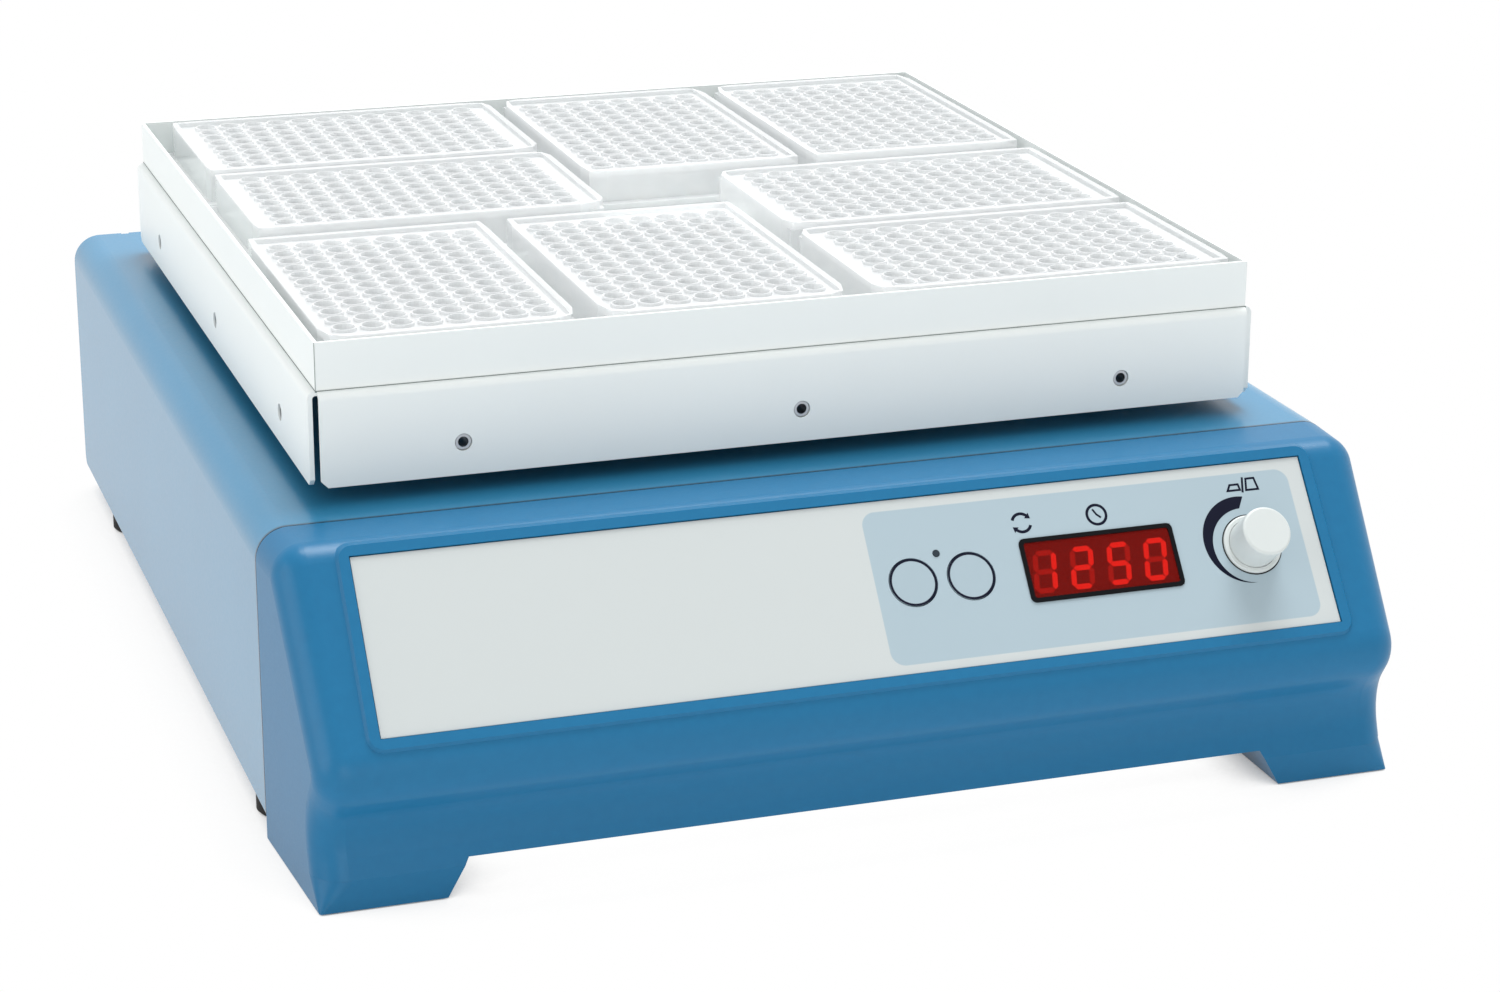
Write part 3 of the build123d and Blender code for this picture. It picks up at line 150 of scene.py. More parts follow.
world = bpy.data.worlds.new("white_surround")
world.use_nodes = True
world.node_tree.nodes.clear()
bpy.context.scene.world = world
lit = add_node(world.node_tree, "ShaderNodeBackground",
               {"Color": linear(surround_white), "Strength": surround_light})
shown = add_node(world.node_tree, "ShaderNodeBackground",
                 {"Color": linear(surround_white), "Strength": 1.0})
mixed = add_node(world.node_tree, "ShaderNodeMixShader", links={
    0: seen_directly(world.node_tree), 1: lit.outputs[0], 2: shown.outputs[0]})
add_node(world.node_tree, "ShaderNodeOutputWorld", links={"Surface": mixed.outputs[0]})

# The floor is painted board. The camera sees it as white paper, darkened only where the
# shaker stands on it.
floor_paint, tree, place = new_material("white_painted_board")
board = add_node(tree, "ShaderNodeBsdfPrincipled",
                 {"Base Color": linear(floor_white), "Roughness": 0.9})
glow = add_node(tree, "ShaderNodeEmission", {"Color": linear(surround_white), "Strength": 1.0})
near = add_node(tree, "ShaderNodeAmbientOcclusion", {"Distance": contact_reach},
                samples=contact_samples)
open_floor = add_node(tree, "ShaderNodeMapRange", {"From Min": 0.0, "From Max": contact_full},
                      {"Value": near.outputs["AO"]})
white_share = add_node(tree, "ShaderNodeMath", operation="MULTIPLY", links={
    0: seen_directly(tree), 1: open_floor.outputs[0]})
close_material(tree, add_node(tree, "ShaderNodeMixShader", links={
    0: white_share.outputs[0], 1: board.outputs[0], 2: glow.outputs[0]}))
corners = np.array([(-1, -1, 0), (1, -1, 0), (1, 1, 0), (-1, 1, 0)]) * floor_half
add_piece("studio_floor", corners, [(0, 1, 2, 3)], floor_paint)

lamp("left_lamp", **left_lamp)
lamp("front_lamp", **front_lamp)
lamp("top_lamp", **top_lamp)

# Base. A pressed steel plate and its screws, zinc-plated, which leaves them bright, faintly
# blue and a little cloudy, on four moulded nitrile rubber feet, dull black. Real grain is
# mostly finer than 0.1 mm. Here and below it is drawn 0.3 mm or coarser, so that it shows.
bump_strength = 0.3
noise_detail = 3.0


def finish(name, light, dark, blotch, grain, dent, rough, shader=None, edge=None):
    """An opaque finish. Its colour drifts between two hex values in patches of size blotch.
    Its roughness, from rough[0] to rough[1], and its bumps, dent high, follow a fine grain.
    An edge (front, rear, colour) paints shade on a sheet's end: fully at y = front, and not at
    rear."""
    material, tree, place = new_material(name)
    patches = add_node(tree, "ShaderNodeTexNoise", {"Scale": 1 / blotch, "Detail": noise_detail},
                       {"Vector": place})
    tone = add_node(tree, "ShaderNodeMix", data_type="RGBA", links={"Factor": patches.outputs[0]},
                    values={"A": linear(light), "B": linear(dark)})
    # Painted shade: the colour turns to the edge colour towards the sheet's end.
    if edge:
        axes = add_node(tree, "ShaderNodeSeparateXYZ", links={0: place})
        painted_edge_shade = add_node(tree, "ShaderNodeMapRange", links={"Value": axes.outputs["Y"]}, values={
            "From Min": edge[0], "From Max": edge[1], "To Min": 1.0, "To Max": 0.0})
        tone = add_node(tree, "ShaderNodeMix", data_type="RGBA", values={"B": linear(edge[2])},
                        links={"Factor": painted_edge_shade.outputs[0], "A": tone.outputs["Result"]})
    specks = add_node(tree, "ShaderNodeTexNoise", {"Scale": 1 / grain, "Detail": noise_detail},
                      {"Vector": place})
    spread = add_node(tree, "ShaderNodeMapRange", {"To Min": rough[0], "To Max": rough[1]},
                      {"Value": specks.outputs[0]})
    bump = add_node(tree, "ShaderNodeBump", {"Strength": bump_strength, "Distance": dent},
                    {"Height": specks.outputs[0]})
    close_material(tree, add_node(tree, "ShaderNodeBsdfPrincipled", shader, {
        "Base Color": tone.outputs["Result"], "Roughness": spread.outputs["Result"],
        "Normal": bump.outputs["Normal"]}))
    return material


def dress(material, *names):
    """Gives CAD nodes one finish."""
    for name in names:
        mesh = nodes[name].data
        mesh.materials.clear()
        mesh.materials.append(material)


zinc = finish("zinc_plated_steel", "#C9CBCC", "#AEB2B6", 4 * mm, 0.8 * mm, 0.02 * mm,
              (0.25, 0.4), {"Metallic": 1.0})
rubber = finish("black_nitrile_rubber", "#1B1B1C", "#121213", 5 * mm, 0.6 * mm, 0.04 * mm,
                (0.6, 0.8), {"Specular IOR Level": 0.3})
dress(zinc, "base_plate", "base_screws", "rear_screws", "deck_screws", "tray_screws",
      "threaded_inserts", "counterweight")
dress(rubber, "rubber_foot_front_left", "rubber_foot_front_right", "rubber_foot_rear_left",
      "rubber_foot_rear_right", "drive_belt")

# Drive. The deck, housings and pulleys are milled from aluminium, pale with a fine sheen. The
# cranks, bearings and shafts are ground steel, darker and nearly mirror bright, and the
# motor has a smooth black coat.
milled = finish("milled_aluminium", "#D2D4D6", "#BFC2C5", 9 * mm, 0.5 * mm, 0.02 * mm,
                (0.3, 0.45), {"Metallic": 1.0})
ground = finish("ground_bearing_steel", "#BDBEC0", "#A3A5A8", 6 * mm, 0.4 * mm, 0.01 * mm,
                (0.15, 0.3), {"Metallic": 1.0})
motor_coat = finish("black_motor_coat", "#1E1F22", "#151618", 8 * mm, 0.7 * mm, 0.03 * mm,
                    (0.4, 0.6))
dress(milled, "drive_deck", "deck_pillars", "crank_housing_drive", "crank_housing_idler_left",
      "crank_housing_idler_right", "driven_pulley", "motor_pulley", "platform_subframe")
dress(ground, "crank_bearings_drive", "crank_bearings_idler_left", "crank_bearings_idler_right",
      "platform_bearings", "drive_crank", "idler_crank_left", "idler_crank_right",
      "motor_shaft", "knob_shaft")
dress(motor_coat, "drive_motor")

# Circuit boards. Glass-epoxy laminate under a green solder mask. The control board lies
# behind the sloped panel, and the power board on the base plate. The mask is dark and satin.
laminate = finish("green_board_laminate", "#1D5A38", "#164A2E", 12 * mm, 0.8 * mm, 0.02 * mm,
                  (0.3, 0.5))
dress(laminate, "control_board", "power_board")

# Case cover and rear panel. Folded 1.2 mm steel sheet in blue powder coat with a glossy
# lacquer over it, which throws back the white studio on the side seen along its length.
# Its front end is darkened with painted shade where it turns into the seam.
cover_blue = "#2F80A8"
cover_shade = "#2A789F"
# Painted shade at the cover's front end, by the seam: where it starts, how wide it is, its colour.
cover_front = -147.9 * mm
seam_shade = 1.6 * mm
seam_shadow_blue = "#16303F"
enamel = finish("blue_lacquered_powder_coat", cover_blue, cover_shade, 60 * mm, 1.6 * mm,
                0.01 * mm, (0.45, 0.55),
                {"Specular IOR Level": 0.1, "Coat Weight": 1.0, "Coat Roughness": 0.25,
                 "Coat IOR": 1.4}, edge=(cover_front, cover_front + seam_shade, seam_shadow_blue))
dress(enamel, "case_cover", "rear_panel")

# Seam. A thin matt black strip fills the slit between the cover's front edge and the moulding
# as painted shadow. It runs up the left side, over the bend, across the top and down again.
# It gives no shine.
seam_front = -148.29
seam_rear = -148.01
seam_side = 177.85
seam_top = 100.3
seam_foot = 8.0
seam_bend = 9.8
seam_depth = 0.6
bend_turns = 10

# Matt black with no shine, standing in for the shadow in the seam and round the knob's collar.
seam_shadow_black = finish("matt_black_painted_shadow", "#15181C", "#0E1013", 4 * mm, 0.5 * mm, 0.03 * mm,
                     (0.7, 0.9))


def seam_line(inward):
    """The case's end section moved inward: up the side, a quarter circle
    c + r (cos a, sin a) with a from 180 to 90 degrees, and its mirror image."""
    a = np.radians(np.linspace(180, 90, bend_turns))
    radius = seam_bend - inward
    bend = np.stack([seam_bend - seam_side + radius * np.cos(a),
                     seam_top - seam_bend + radius * np.sin(a)], 1)
    left = np.concatenate([[(inward - seam_side, seam_foot)], bend])
    return np.concatenate([left, left[::-1] * (-1, 1)])


def swept(sections, closed):
    """Quads between neighbouring rings of points, each ring closed on itself, and a cap on
    both ends unless the row of rings is closed."""
    count, around = sections.shape[:2]
    i = np.arange(around)
    j = (i + 1) % around
    rows = range(count if closed else count - 1)
    faces = [np.stack([r * around + i, r * around + j, (r + 1) % count * around + j,
                       (r + 1) % count * around + i], 1) for r in rows]
    faces = np.concatenate(faces).tolist()
    if not closed:
        faces += [i[::-1].tolist(), ((count - 1) * around + i).tolist()]
    return sections.reshape(-1, 3), faces


outer, inner = seam_line(0.0), seam_line(seam_depth)
rings = np.stack([np.insert(line, 1, y, 1) for line, y in (
    (outer, seam_rear), (outer, seam_front), (inner, seam_front), (inner, seam_rear))], 1)
points, faces = swept(rings, closed=False)
seam_shadow_strip = add_piece("cover_seam_shadow", points * mm, faces, seam_shadow_black)
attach(seam_shadow_strip, "case")

# Rear fittings. The mains inlet and its fuse drawer are moulded in satin black ABS, and so
# are the knob's switch with its plunger, and the display's body. Little shines on them.
black_abs = finish("black_moulded_abs", "#0A0B0F", "#07080B", 20 * mm, 0.9 * mm, 0.03 * mm,
                   (0.35, 0.5), {"Specular IOR Level": 0.1})
dress(black_abs, "mains_inlet", "fuse_drawer", "encoder_body", "switch_plunger",
      "display_module")

# Front moulding. One moulded ABS piece in mid blue: the panel's seat, the brow over it, the
# bulge and waist under it, and the two feet. The tool's spark-eroded grain makes it satin.
moulded_blue = "#146B97"
moulded_shade = "#116590"
blue_abs = finish("blue_moulded_abs", moulded_blue, moulded_shade, 3 * mm, 0.9 * mm, 0.05 * mm,
                  (0.3, 0.38), {"Specular IOR Level": 0.3})
dress(blue_abs, "front_moulding")

# Control label. A screen-printed polyester film in the moulding's recess: pale grey, with a
# pale blue area under the controls, whose edge is a rectangle with round corners:
# |max(|p - middle| - (half - round), 0)| < round, with any height taken out. The film is
# smooth with a soft sheen. Sizes are in mm on the sloped panel.
panel_tilt = np.radians(38.8)
panel_middle = (0.0, -189.21, 75.17)
label_face = 0.4
label_grey = "#C0C6C6"
control_blue = "#A2B4BD"
control_middle = (76.8, -0.3)
control_half = (72.4, 24.9)
control_round = 4.5
edge_blur = 0.15
film_grain = 0.7 * mm
any_height = 99

film, tree, place = new_material("printed_polyester_film")
moved = add_node(tree, "ShaderNodeVectorMath", operation="SUBTRACT", links={0: place},
                 values={1: [v * mm for v in panel_middle]})
laid = add_node(tree, "ShaderNodeMapping", {
    "Rotation": (panel_tilt - np.pi / 2, 0, 0), "Scale": (1 / mm, 1 / mm, 1 / mm)},
    {"Vector": moved.outputs[0]})
away = add_node(tree, "ShaderNodeVectorMath", operation="SUBTRACT",
                links={0: laid.outputs[0]}, values={1: (*control_middle, 0)})
across = add_node(tree, "ShaderNodeVectorMath", operation="ABSOLUTE", links={0: away.outputs[0]})
inside = add_node(tree, "ShaderNodeVectorMath", operation="SUBTRACT", links={0: across.outputs[0]},
                  values={1: (*[half - control_round for half in control_half], any_height)})
beyond = add_node(tree, "ShaderNodeVectorMath", operation="MAXIMUM", links={0: inside.outputs[0]},
                  values={1: (0, 0, 0)})
reach = add_node(tree, "ShaderNodeVectorMath", operation="LENGTH", links={0: beyond.outputs[0]})
printed = add_node(tree, "ShaderNodeMapRange", links={"Value": reach.outputs["Value"]}, values={
    "From Min": control_round - edge_blur, "From Max": control_round + edge_blur,
    "To Min": 1.0, "To Max": 0.0})
tone = add_node(tree, "ShaderNodeMix", data_type="RGBA", links={"Factor": printed.outputs[0]},
                values={"A": linear(label_grey), "B": linear(control_blue)})
grain = add_node(tree, "ShaderNodeTexNoise", {"Scale": 1 / film_grain, "Detail": 2.0},
                 {"Vector": place})
rough = add_node(tree, "ShaderNodeMapRange", {"To Min": 0.4, "To Max": 0.5},
                 {"Value": grain.outputs[0]})
bump = add_node(tree, "ShaderNodeBump", {"Strength": 0.1, "Distance": 0.02 * mm},
                {"Height": grain.outputs[0]})
close_material(tree, add_node(
    tree, "ShaderNodeBsdfPrincipled", {"Specular IOR Level": 0.3},
    {"Base Color": tone.outputs["Result"], "Roughness": rough.outputs[0],
     "Normal": bump.outputs["Normal"]}))
dress(film, "control_label")

# Print on the label, in flat navy screen ink: a rotation symbol and a clock over the display,
# a tapered arc round the knob, and the push switch's two boxes above it. The arc lies
# between two circles with different middles, so that it runs out to a point.
ink_navy = "#0A0D20"
ink_proud = 0.03
ink_rise = label_face + ink_proud
ink_thickness = 0.02
arrows_at = np.array((56.1, 16.0))
arrows_radius = 3.0
arrows_line = 0.95
head_long = 1.6
head_half = 1.15
clock_at = np.array((81.5, 16.0))
clock_radius = 3.2
clock_line = 0.9
hand_line = 0.65
clock_hands = [[(-1.0, 1.9), (0.0, 0.0)], [(-0.1, 0.15), (1.3, -1.1)]]
knob_at = (131.2, 0.5)
arc_outer = (129.59, 2.42, 14.5)
arc_inner = (130.46, 0.42, 12.45)
arc_outer_sweep = (80.0, 266.0)
arc_inner_sweep = (92.0, 268.0)
push_line = 0.7
arc_turns = 48
ring_turns = 72
push_low = [(127.6, 19.0), (131.9, 19.0), (131.6, 20.9), (128.7, 20.9)]
push_bar = [(132.6, 18.0), (133.6, 23.1)]
push_high = [(134.0, 18.7), (138.2, 18.7), (137.5, 22.5), (134.7, 22.5)]


def on_panel(flat, rise):
    """Points (x, y) of the panel, in mm, carried into the frame: the panel's middle
    + x right + y up its slope (0, sin t, cos t) + rise outward (0, -cos t, sin t)."""
    flat = np.asarray(flat, float)
    s, c = np.sin(panel_tilt), np.cos(panel_tilt)
    return (np.array(panel_middle) + flat[..., :1] * (1, 0, 0) + flat[..., 1:2] * (0, s, c)
            + np.expand_dims(rise, -1) * np.array((0, -c, s))) * mm


def flat_piece(name, shapes, rise, thickness, material, body):
    """Joins flat shapes (points, faces) into one thin piece on the panel, whose face is at
    rise. A shape's second layer of points lies thickness below, joined along its edges."""
    points, faces, first = [], [], 0
    for flat, shape_faces in shapes:
        points += [on_panel(flat, rise), on_panel(flat, rise - thickness)]
        count = len(flat)
        sides = {(a, b) for face in shape_faces for a, b in zip(face, (*face[1:], face[0]))}
        faces += [[first + k for k in face] for face in shape_faces]
        faces += [[first + count + k for k in reversed(face)] for face in shape_faces]
        faces += [[first + b, first + a, first + count + a, first + count + b]
                  for a, b in sorted(sides) if (b, a) not in sides]
        first += 2 * count
    piece = add_piece(name, np.concatenate(points), faces, material)
    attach(piece, body)
    return piece


def ribbon(line, width, closed=False):
    """A flat strip along a line: its points are line +- width / 2 * n, where n is the line's
    direction turned a quarter turn."""
    line = np.asarray(line, float)
    run = np.roll(line, -1, 0) - np.roll(line, 1, 0) if closed else np.gradient(line, axis=0)
    run = run / np.linalg.norm(run, axis=1, keepdims=True)
    side = np.stack([-run[:, 1], run[:, 0]], 1) * width / 2
    return band(line + side, line - side, closed)


def band(left, right, closed=False):
    """The quads between two rows of points, the left one on the left of their direction."""
    n = len(left)
    i = np.arange(n if closed else n - 1)
    j = (i + 1) % n
    return np.concatenate([left, right]), np.stack([i + n, j + n, j, i], 1).tolist()


def arc(middle, radius, start, end, count=arc_turns):
    """Points middle + radius (cos a, sin a), with a from start to end in degrees."""
    a = np.radians(np.linspace(start, end, count))
    return np.stack([middle[0] + radius * np.cos(a), middle[1] + radius * np.sin(a)], 1)


def ring(middle, radius):
    """A full circle of points, without the last one."""
    return arc(middle, radius, 0, 360, ring_turns + 1)[:-1]


def mitred(corners, width):
    """A closed strip along straight sides: each corner moves by the sum of its two sides'
    normals over 1 + their product, so that the strip keeps its width."""
    corners = np.asarray(corners, float)
    runs = corners - np.roll(corners, 1, 0), np.roll(corners, -1, 0) - corners
    one, two = [np.stack([-v[:, 1], v[:, 0]], 1) / np.linalg.norm(v, axis=1, keepdims=True)
                for v in runs]
    mitre = (one + two) / (1 + (one * two).sum(1, keepdims=True)) * width / 2
    return band(corners + mitre, corners - mitre, closed=True)


ink = finish("navy_screen_ink", ink_navy, "#101428", 9 * mm, 0.5 * mm, 0.01 * mm, (0.45, 0.6),
             {"Specular IOR Level": 0.1})


def arrow(start, end):
    """A round arrow: an arc from start to end, in degrees, with a head on its end."""
    a = np.radians(end)
    tip = arrows_at + arrows_radius * np.array((np.cos(a), np.sin(a)))
    along = np.array((np.sin(a), -np.cos(a)))
    out = np.array((np.cos(a), np.sin(a)))
    head = np.array([tip - out * head_half, tip + out * head_half, tip + along * head_long])
    return [ribbon(arc(arrows_at, arrows_radius, start, end), arrows_line),
            (head, [(0, 2, 1)])]


label_print = [*arrow(160, 48), *arrow(-20, -132),
               ribbon(ring(clock_at, clock_radius), clock_line, closed=True),
               *[ribbon(clock_at + hand, hand_line) for hand in clock_hands],
               band(arc(arc_inner[:2], arc_inner[2], *arc_inner_sweep),
                    arc(arc_outer[:2], arc_outer[2], *arc_outer_sweep)),
               mitred(push_low, push_line), ribbon(push_bar, push_line),
               mitred(push_high, push_line)]
flat_piece("label_print", label_print, ink_rise, ink_thickness, ink, "case")

# Buttons. The label's own film, blue all over, lies over each switch. Each has a printed
# ring, which goes down with it.
button_places = {"start": (16.7, 0.7), "mode": (35.8, 0.7)}
button_radius = 7.65
button_face = 0.5
ring_line = 0.75
button_film = finish("pale_blue_button_film", control_blue, "#9EB0B9", 20 * mm, film_grain,
                     0.01 * mm, (0.4, 0.5), {"Specular IOR Level": 0.3})
dress(button_film, "start_button", "mode_button")
for name, middle in button_places.items():
    outline = ribbon(ring(middle, button_radius - ring_line / 2), ring_line, closed=True)
    flat_piece(f"{name}_ring", [outline], button_face + ink_proud, ink_thickness, ink,
               f"{name}_button")

# Status light. A small smoked polycarbonate lens, pressed into the label between the two
# buttons. It is off, and looks dark grey.
lens = finish("smoked_lens", "#24303A", "#1E2932", 3 * mm, 0.3 * mm, 0.005 * mm, (0.3, 0.4),
              {"Specular IOR Level": 0.3})
dress(lens, "status_led")

# Display frame and window. A satin black frame with round corners stands on the label, and
# a window of cast acrylic, deep red and clear, lies in it. Both are a little larger than the
# solids that they replace.
display_at = np.array((79.45, 0.15))
frame_half = (26.0, 10.5)
frame_round = 1.9
frame_line = 1.45
frame_rise = 0.8
frame_foot = 0.41
window_rise = 0.55
window_gauge = 0.05
window_round = 0.9
window_red = "#6B110C"
window_shade = "#6F110C"
corner_turns = 6


def rounded(half, radius):
    """A rectangle with round corners: each corner's quarter circle
    c + r (cos a, sin a) about its own middle c."""
    middles = [(sx * (half[0] - radius), sy * (half[1] - radius))
               for sx, sy in ((1, 1), (-1, 1), (-1, -1), (1, -1))]
    return np.concatenate([arc(display_at + middle, radius, turn, turn + 90, corner_turns)
                           for turn, middle in zip((0, 90, 180, 270), middles)])


window_half = tuple(half - frame_line for half in frame_half)
bezel = flat_piece("display_frame",
                   [band(rounded(window_half, window_round), rounded(frame_half, frame_round),
                         closed=True)],
                   frame_rise, frame_rise - frame_foot, black_abs, "case")
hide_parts("display_bezel")

acrylic, tree, place = new_material("red_cast_acrylic")
cloud = add_node(tree, "ShaderNodeTexNoise", {"Scale": 1 / film_grain}, {"Vector": place})
tint = add_node(tree, "ShaderNodeMix", data_type="RGBA", links={"Factor": cloud.outputs[0]},
                values={"A": linear(window_red), "B": linear(window_shade)})
rough = add_node(tree, "ShaderNodeMapRange", {"To Min": 0.3, "To Max": 0.4},
                 {"Value": cloud.outputs[0]})
close_material(tree, add_node(
    tree, "ShaderNodeBsdfPrincipled", {"Specular IOR Level": 0.05, "Alpha": 0.6},
    {"Base Color": tint.outputs["Result"], "Roughness": rough.outputs[0]}))
edge = rounded(window_half, window_round)
window = flat_piece("display_pane", [(edge, [tuple(range(len(edge)))])], window_rise,
                    window_gauge, acrylic, "case")
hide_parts("display_window")

# Digits. Four seven-segment digits in a red cast resin face behind the window. The resin
# spreads the lit segments' light softly. The segments that are off and the face glow faintly
# too: that glow is painted light.
digits_at = np.array((79.2, -0.45))
digit_width = 7.8
digit_height = 13.9
digit_pitch = 12.5
segment_line = 1.7
segment_gap = 0.12
digit_slant = np.radians(9.5)
digits_rise = -0.28
face_rise = -0.34
face_half = (24.8, 9.3)
shown_digits = "1250"
digit_red = "#F02018"
lit_strength = 4.3
# Painted light: the glow of the segments that are off and of the face around them.
idle_painted_glow = 1.5
face_painted_glow = 0.2
unevenness = 0.1
segments_of = {"0": "abcdef", "1": "bc", "2": "abdeg", "5": "acdfg"}


def glowing(name, strength):
    """A red diffuser that glows: lit segments, and painted light on idle ones and the face."""
    material, tree, place = new_material(name)
    uneven = add_node(tree, "ShaderNodeTexNoise", {"Scale": 1 / (2.0 * mm)}, {"Vector": place})
    rough = add_node(tree, "ShaderNodeMapRange", {"To Min": 0.4, "To Max": 0.6},
                     {"Value": uneven.outputs[0]})
    level = add_node(tree, "ShaderNodeMapRange", {
        "To Min": (1 - unevenness) * strength, "To Max": (1 + unevenness) * strength},
        {"Value": uneven.outputs[0]})
    close_material(tree, add_node(
        tree, "ShaderNodeBsdfPrincipled",
        {"Base Color": linear(window_red), "Emission Color": linear(digit_red)},
        {"Roughness": rough.outputs[0], "Emission Strength": level.outputs[0]}))
    return material


def segment(start, end):
    """A bar with pointed ends: corners at both ends, and on either side of the points that
    lie half a width in from them."""
    start, end = np.array(start), np.array(end)
    along = (end - start) / np.linalg.norm(end - start)
    side = np.array([-along[1], along[0]]) * segment_line / 2
    start, end = start + along * segment_gap, end - along * segment_gap
    point = along * segment_line / 2
    return (np.array([start, start + point - side, end - point - side, end,
                      end - point + side, start + point + side]), [(0, 1, 2, 3, 4, 5)])


wide, tall = (digit_width - segment_line) / 2, (digit_height - segment_line) / 2
bars = {"a": ((-wide, tall), (wide, tall)), "b": ((wide, 0), (wide, tall)),
        "c": ((wide, -tall), (wide, 0)), "d": ((-wide, -tall), (wide, -tall)),
        "e": ((-wide, -tall), (-wide, 0)), "f": ((-wide, 0), (-wide, tall)),
        "g": ((-wide, 0), (wide, 0))}
lit_bars, idle_bars = [], []
for number, digit in enumerate(shown_digits):
    middle = digits_at + ((number - (len(shown_digits) - 1) / 2) * digit_pitch, 0)
    for letter, ends in bars.items():
        leant = [middle + (x + y * np.tan(digit_slant), y) for x, y in ends]
        (lit_bars if letter in segments_of[digit] else idle_bars).append(segment(*leant))
flat_piece("lit_segments", lit_bars, digits_rise, ink_thickness,
           glowing("lit_red_diffuser", lit_strength), "case")
# Painted light: the segments that are off glow faintly.
flat_piece("idle_segments", idle_bars, digits_rise, ink_thickness,
           glowing("idle_red_painted_glow", idle_painted_glow), "case")
# Painted light: the face behind the digits glows faintly.
corners = [(-1, -1), (1, -1), (1, 1), (-1, 1)] * np.array(face_half) + display_at
flat_piece("digit_face", [(corners, [(0, 1, 2, 3)])], face_rise, ink_thickness,
           glowing("red_digit_face_painted_glow", face_painted_glow), "case")

# Knob. White ABS, moulded with a fine satin texture. A white collar stands round its foot,
# and a thin black ring on the label round the collar is painted shadow in the gap.
white_abs = finish("white_moulded_abs", "#CED4D3", "#C8CECD", 15 * mm, 0.8 * mm, 0.01 * mm,
                   (0.3, 0.42))
collar_profile = [(8.15, 0.42), (8.15, 1.4), (9.2, 1.4), (9.5, 1.25), (9.65, 0.95), (9.65, 0.42)]
gap_shadow_radius = 9.85
gap_shadow_line = 0.5
dress(white_abs, "speed_knob")

profile = np.array(collar_profile)
rings = np.stack([on_panel(ring(knob_at, radius), np.full(ring_turns, rise))
                  for radius, rise in profile[::-1]])
points, faces = swept(rings, closed=True)
collar = add_piece("knob_collar", points, faces, white_abs)
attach(collar, "case")
# Painted shadow: a thin black ring on the label round the collar.
flat_piece("collar_gap_shadow", [ribbon(ring(knob_at, gap_shadow_radius), gap_shadow_line, closed=True)],
           ink_rise, ink_thickness, seam_shadow_black, "case")

# Platform. A folded aluminium pan and the welded tray on it, both in off-white stoved
# enamel, smooth and satin. A matt grey strip runs round under the tray, and a thin one
# down its front left corner: painted shade in the joint and in the open corner seam.
platform_white = "#E7ECEB"
platform_shade = "#E2E7E6"
white_enamel = finish("off_white_platform_enamel", platform_white, platform_shade, 60 * mm,
                      1.6 * mm, 0.01 * mm, (0.34, 0.42))
dress(white_enamel, "lower_platform", "platform_tray")
joint_shade_grey = "#727D7B"
bead_half = 154.63
bead_inner = 154.0
bead_low = 135.7
bead_high = 136.15
tray_middle_y = 24.0
tray_top = 151.3
corner_bead = 0.15

# Painted shade: a matt grey strip in the joint under the tray and in its open corner seam.
joint_shade_finish = finish("grey_painted_joint_shade", joint_shade_grey, "#697472", 8 * mm, 0.6 * mm, 0.02 * mm, (0.5, 0.6))
square = np.array([(-1, -1), (1, -1), (1, 1), (-1, 1)])
rings = np.stack([np.column_stack([square * half + (0, tray_middle_y), np.full(4, height)])
                  for half, height in ((bead_half, bead_low), (bead_half, bead_high),
                                       (bead_inner, bead_high), (bead_inner, bead_low))])
points, faces = swept(rings, closed=True)
corner = np.array((-bead_half, tray_middle_y - bead_half))
flat = np.array([(0, 0), (corner_bead, 0), (corner_bead, corner_bead), (0, corner_bead)]) + corner
rings = np.stack([np.column_stack([flat, np.full(4, height)]) for height in (bead_high, tray_top)])
more_points, more_faces = swept(rings, closed=False)
faces += [[k + len(points) for k in face] for face in more_faces]
bead = add_piece("tray_joint_shade", np.concatenate([points, more_points]) * mm, faces, joint_shade_finish)
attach(bead, "platform")

# Microplates. Injection-moulded clear polystyrene, 96 wells at 9 mm, in a stepped skirt.
# In bulk the thin walls look milky, and only the rims catch the light. A well's profile
# gives radius and height in mm, and the skirt's half length, half width, height and how
# much of the corners' cut it takes.
plate_places = [(-110.31, -65.17, 90), (-21.61, -65.17, 90), (89.17, -86.31, 0),
                (89.17, -0.11, 0), (-82.97, 48.11, 180), (-82.97, 134.31, 180),
                (24.11, 113.17, 270), (110.31, 113.17, 270)]
plate_floor_z = 137.15
well_pitch = 9.0
wells_long = 12
wells_wide = 8
well_turns = 16
well_profile = [(0, 12.75), (4.15, 12.75), (4.05, 13.75), (3.45, 13.75), (3.2, 3.4)]
under_profile = [(0, 11.9), (4.1, 11.9), (3.9, 2.6)]
deck_half = (58.78, 37.64)
under_half = (60.3, 39.16)
skirt_profile = [(58.78, 37.64, 12.75, 0), (58.9, 37.76, 14.2, 0), (59.05, 37.91, 14.35, 0.2),
                 (61.2, 40.06, 14.35, 0.8), (61.38, 40.24, 14.15, 1), (61.48, 40.34, 2.75, 1),
                 (63.7, 42.56, 2.5, 1), (63.88, 42.74, 2.3, 1), (63.88, 42.74, 0, 1),
                 (62.9, 41.76, 0, 0.9), (62.7, 41.56, 1.6, 0.9), (60.4, 39.26, 1.9, 0.2),
                 (60.3, 39.16, 11.9, 0)]
cut_corner = 5.0
plain_corner = 1.4
plate_white = "#FFFFFF"

